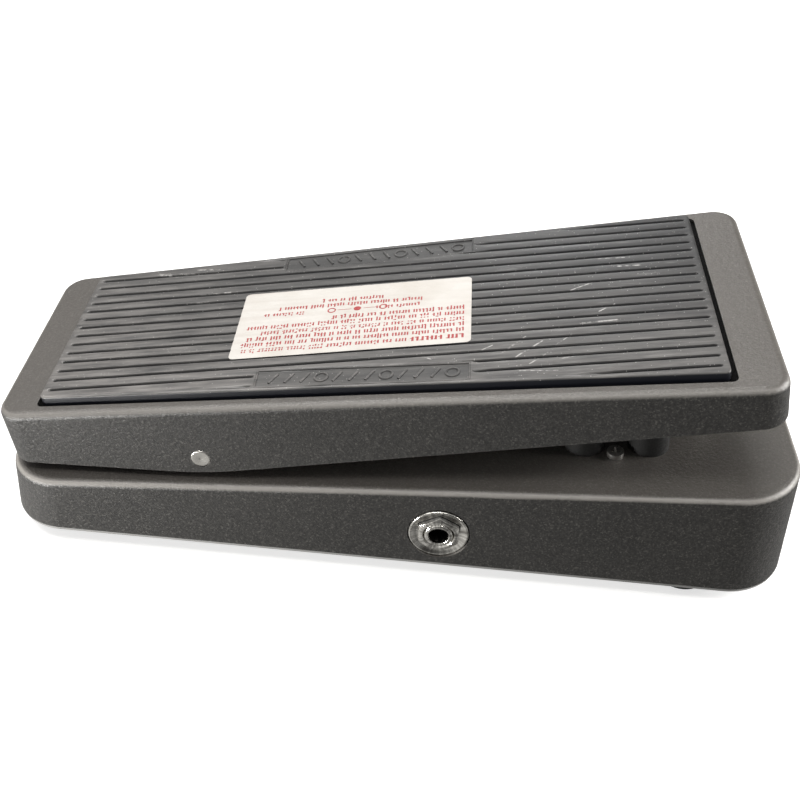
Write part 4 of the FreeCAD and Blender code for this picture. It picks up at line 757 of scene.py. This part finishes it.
# Widths of the strokes and bars, and the gaps between marks and between groups of them.
STROKE, HEADING_STROKE, BAR = 0.46, 0.70, 0.32
MARK_GAP, GROUP_GAP = 0.24, 0.85
# The row of a dot between two rings, joined by lines, and its distance from the near edge.
SIGN_DEPTH, SIGN_MIDDLE, SIGN_PITCH, SIGN_SEGMENTS = 23.2, 1.0, 8.55, 16


def ink_block(points, faces, corners):
    """One small raised block of ink on the label, between four corners."""
    start = len(points)
    for lift in (LABEL_THICK, LABEL_THICK + INK_THICK):
        points += [label_spot(u, v, lift) for u, v in corners]
    faces += [tuple(start + k for k in face) for face in
              ((3, 2, 1, 0), (4, 5, 6, 7), (0, 1, 5, 4), (1, 2, 6, 5), (2, 3, 7, 6), (3, 0, 4, 7))]


def ink_mark(points, faces, u0, u1, v0, v1):
    ink_block(points, faces, ((u0, v0), (u1, v0), (u1, v1), (u0, v1)))


def ink_ring(points, faces, u, v, inner, outer):
    """A printed ring, or a dot where inner is 0."""
    for k in range(SIGN_SEGMENTS):
        a0, a1 = (math.tau * step / SIGN_SEGMENTS for step in (k, k + 1))
        ink_block(points, faces, [(u + radius * math.cos(angle), v + radius * math.sin(angle))
                                  for radius, angle in ((inner, a0), (outer, a0), (outer, a1), (inner, a1))])


def label_print():
    """Rows of marks in the place of text. They are strokes and bars, not letters."""
    draw = random.Random(7)
    points, faces = [], []
    near, toe = -LABEL_WIDTH / 2, LABEL_LENGTH / 2
    for row, (depth, begin, end, height) in enumerate(PRINT_ROWS):
        v = near + depth
        u = toe - begin * LABEL_LENGTH
        stop = toe - end * LABEL_LENGTH
        while u > stop:
            heavy = row == 0 and u > toe - HEADING_LENGTH
            stroke = HEADING_STROKE if heavy else STROKE
            for _ in range(draw.randint(2, 8)):
                wide = draw.uniform(0.55, 0.95) * (1.7 if heavy else 1.0)
                if u - wide < stop:
                    break
                low = v - height / 2 - (draw.random() < 0.25) * 0.45
                high = v + height / 2 + (draw.random() < 0.12) * 0.4
                if heavy:
                    low, high = v - height * 0.68, v + height * 0.62
                ink_mark(points, faces, u - stroke, u, low, high)
                if wide > 0.7:
                    middle = draw.choice((low + 0.1, v, high - 0.4))
                    ink_mark(points, faces, u - wide + 0.05, u - stroke, middle, middle + BAR)
                u -= wide + MARK_GAP
            u -= GROUP_GAP
    v = near + SIGN_DEPTH
    for place, inner, outer in ((-1, 1.0, 1.45), (0, 0.0, 1.25), (1, 1.0, 1.45)):
        ink_ring(points, faces, SIGN_MIDDLE + place * SIGN_PITCH, v, inner, outer)
    for u0, u1 in ((-5.6, -1.0), (3.0, 7.6)):
        ink_mark(points, faces, u0, u1, v - 0.1, v + 0.1)
    new_piece("notice_print", points, faces, "treadle", "label_paper", material=INK, matrix=TREADLE)


# ------------------------------------------------------------------ panel jacks and hinge rod

# Profiles are loops of (radius, height above the side).
DISH = [(4.9, 0.0), (9.3, 0.0), (9.62, 0.3), (9.65, 0.7), (9.5, 1.0), (9.2, 1.12), (8.9, 1.05),
        (8.3, 0.74), (7.6, 0.52), (6.9, 0.42), (4.9, 0.42)]
NUT_SEAT = 0.44
NUT_SEGMENTS = 96
# The bevel on the nut's corners: its angle, and its radius on the outer face as a share of the apothem.
BEVEL_ANGLE, BEVEL_START = math.radians(30), 0.955
BORE_BEVEL = 0.45
SLEEVE_START = 45.1
SLEEVE_BASE = [(3.25, 0.0), (4.2, 0.0)]
SLEEVE_MOUTH = [(4.55, 5.05), (4.3, 5.4), (4.05, 5.5), (3.5, 5.5), (3.27, 5.3)]
THREAD_CREST, THREAD_ROOT, THREAD_PITCH = 4.72, 4.38, 0.64
THREAD_FROM, THREAD_TO = 0.5, 4.9
ROD_HALF, ROD_RADIUS = 43.6, 3.2


def jack_front(name, side):
    """Dished washer, low chamfered nut and threaded bushing on one side of the base."""
    sleeve = list(SLEEVE_BASE)
    z = THREAD_FROM
    while z < THREAD_TO:
        sleeve += [(THREAD_CREST, z), (THREAD_ROOT, z + THREAD_PITCH / 2)]
        z += THREAD_PITCH
    sleeve += SLEEVE_MOUTH
    for end, node, (points, faces), outward, sharp in (
        ("_dish", "_washer", turned(DISH, 128), SEAT, 50),
        ("_hex", "_nut", hex_nut(NUT_FLATS, NUT_HEIGHT, NUT_BORE), SEAT + NUT_SEAT, 35),
        ("_sleeve", "_bushing", turned(sleeve, 72), SLEEVE_START, 40),
    ):
        new_piece(name + end, points, faces, "base", "nickel", [name + node], WASHER,
                  pointing((JACK_X, side * outward, JACK_Z), (0, side, 0)), sharp)


def hex_nut(flats, height, bore):
    """A hexagon nut whose corners are turned off on its outer face."""
    apothem = flats / 2
    levels = [0.0, height * 0.35] + [height * (0.45 + 0.05 * k) for k in range(12)]
    points = []
    for z in levels:
        for k in range(NUT_SEGMENTS):
            angle = math.tau * k / NUT_SEGMENTS
            within = (angle + math.pi / 6) % (math.pi / 3) - math.pi / 6
            reach = apothem / math.cos(within)
            bevelled = apothem * BEVEL_START + (height - z) / math.tan(BEVEL_ANGLE)
            radius = min(reach, bevelled)
            points.append((radius * math.cos(angle), radius * math.sin(angle), z))
    for radius, z in ((bore + BORE_BEVEL, height), (bore, height - BORE_BEVEL), (bore, 0.0)):
        points += circle(radius, z, NUT_SEGMENTS)
    return points, grid_faces(len(levels) + 3, NUT_SEGMENTS, closed_rows=True, closed_columns=True)


def rod_with_ends():
    """The hinge rod: chamfered ends, faced off with a shallow centre mark."""
    half, radius = ROD_HALF, ROD_RADIUS
    end = [(0.0, half - 0.25), (0.35, half - 0.12), (0.6, half - 0.05), (2.5, half - 0.02),
           (radius - 0.35, half), (radius - 0.06, half - 0.18), (radius, half - 0.45)]
    profile = [(r, -z) for r, z in end] + [(r, z) for r, z in reversed(end)]
    points, faces = turned(profile, 64)
    new_piece("hinge_rod", points, faces, "treadle", "nickel", ["pivot_rod"],
              matrix=pointing(PIVOT / MM, (0, 1, 0)), sharp=60)


ribbed_mat()
panel_frames()
paper_label()
label_print()
for jack, side in (("input_jack", -1), ("output_jack", 1)):
    jack_front(jack, side)
rod_with_ends()


# ------------------------------------------------------------------ floor, light and camera

FLOOR_REACH = 4.0


def floor():
    mesh = bpy.data.meshes.new("floor")
    corners = [(x * FLOOR_REACH, y * FLOOR_REACH, 0) for x, y in ((-1, -1), (1, -1), (1, 1), (-1, 1))]
    mesh.from_pydata(corners, [], [(0, 1, 2, 3)])
    thing = bpy.data.objects.new("floor", mesh)
    bpy.context.scene.collection.objects.link(thing)
    s = Shader("floor_white")
    mesh.materials.append(s.finish(Base_Color=(0.55, 0.55, 0.55), Roughness=0.9, Specular_IOR_Level=0.1,
                                   Emission_Color=(1, 1, 1), Emission_Strength=0.62))
    thing.visible_diffuse = False
    thing.visible_glossy = False


# The studio round the pedal: brightness at each height of a direction, from straight down to straight
# up, and the factor on it at each sideways share of the direction, from the heel's side to the toe's.
SURROUND = [(-1.0, 0.30), (-0.70, 0.42), (-0.40, 0.36), (-0.12, 0.12), (0.03, 0.08), (0.22, 0.20),
            (0.50, 0.42), (1.0, 0.75)]
SIDEWAYS = [(-1.0, 1.9), (-0.3, 1.45), (0.0, 0.95), (0.22, 0.38), (0.45, 0.60), (0.80, 1.3)]


def sky():
    """Soft studio surround: bright above and below, dark at the horizon, brighter at the heel's side."""
    world = bpy.data.worlds.new("studio")
    bpy.context.scene.world = world
    world.use_nodes = True
    nodes, links = world.node_tree.nodes, world.node_tree.links
    nodes.clear()
    split = nodes.new("ShaderNodeSeparateXYZ")
    links.new(nodes.new("ShaderNodeTexCoord").outputs["Generated"], split.inputs[0])

    def graded(socket, table):
        """Brightness read from a table of (share, value) by a direction's share from -1 to 1."""
        span = nodes.new("ShaderNodeMapRange")
        links.new(socket, span.inputs[0])
        span.inputs[1].default_value = -1
        ramp = nodes.new("ShaderNodeValToRGB")
        links.new(span.outputs[0], ramp.inputs[0])
        stops = ramp.color_ramp.elements
        while len(stops) < len(table):
            stops.new(0.5)
        for stop, (share, value) in zip(stops, table):
            stop.position = (share + 1) / 2
            stop.color = (value, value * 0.985, value * 0.96, 1)
        return ramp.outputs[0]

    back = nodes.new("ShaderNodeBackground")
    links.new(graded(split.outputs[2], SURROUND), back.inputs[0])
    links.new(graded(split.outputs[0], SIDEWAYS), back.inputs[1])
    out = nodes.new("ShaderNodeOutputWorld")
    links.new(back.outputs[0], out.inputs[0])


# Lamps: place and aim in metres, size in metres, power in watts, and colour.
WHITE, WARM, WARMER = (1, 1, 1), (1, 0.985, 0.96), (1, 0.98, 0.955)
LAMPS = {
    "overhead": ((-0.38, 0.16, 0.76), (-0.06, 0, 0.05), (0.8, 0.5), 3.2, WARMER),
    "left": ((-0.27, -0.21, 0.012), (-0.10, -0.04, 0.03), (0.22, 0.02), 1.15, WARM),
    "front": ((-0.04, -0.34, 0.80), (0.02, 0, 0.05), (0.8, 0.10), 3.2, WARM),
    "top": ((-0.14, 0.26, 0.84), (0, 0, 0.05), (0.8, 0.12), 5.2, WARM),
    "right": ((0.50, 0.0, 0.22), (0.10, 0, 0.04), (0.20, 0.20), 3.2, WARM),
    "behind": ((0.0, 1.05, 0.47), (0.05, 0.02, 0.08), (0.25, 0.12), 1.6, WHITE),
}


def soft_light(name, spot, aim, size, power, colour):
    light = bpy.data.lights.new(name, "AREA")
    light.shape = "RECTANGLE"
    light.size, light.size_y = size
    light.energy = power
    light.color = colour
    lamp = bpy.data.objects.new(name, light)
    lamp.location = spot
    lamp.visible_camera = False
    lamp.rotation_euler = (Vector(aim) - Vector(spot)).to_track_quat("-Z", "Y").to_euler()
    bpy.context.scene.collection.objects.link(lamp)


# The camera's angles in degrees, what it looks at and from how far in millimetres, and its lens.
AZIMUTH, ELEVATION, ROLL = 2.01, 39.05, 2.75
TARGET, DISTANCE = Vector((-1.68, 4.77, 30.0)), 383.6
LENS, SENSOR = 49.11, 36


def camera():
    """Set at the photograph's viewing angle."""
    azimuth, elevation, roll = (math.radians(a) for a in (AZIMUTH, ELEVATION, ROLL))
    back = Vector((math.sin(azimuth) * math.cos(elevation), -math.cos(azimuth) * math.cos(elevation),
                   math.sin(elevation)))
    right = (-back).cross(Vector((0, 0, 1))).normalized()
    up = right.cross(-back)
    rolled_right = right * math.cos(roll) + up * math.sin(roll)
    rolled_up = up * math.cos(roll) - right * math.sin(roll)
    where = TARGET * MM + back * DISTANCE * MM
    data = bpy.data.cameras.new("camera")
    data.sensor_width = SENSOR
    data.lens = LENS
    data.clip_start, data.clip_end = 0.01, 20
    eye = bpy.data.objects.new("camera", data)
    turn = Matrix((rolled_right, rolled_up, back)).transposed().to_4x4()
    eye.matrix_world = Matrix.Translation(where) @ turn
    bpy.context.scene.collection.objects.link(eye)
    bpy.context.scene.camera = eye


floor()
sky()
for lamp_name, lamp in LAMPS.items():
    soft_light(lamp_name, *lamp)
camera()
bpy.context.scene.view_settings.view_transform = "Standard"
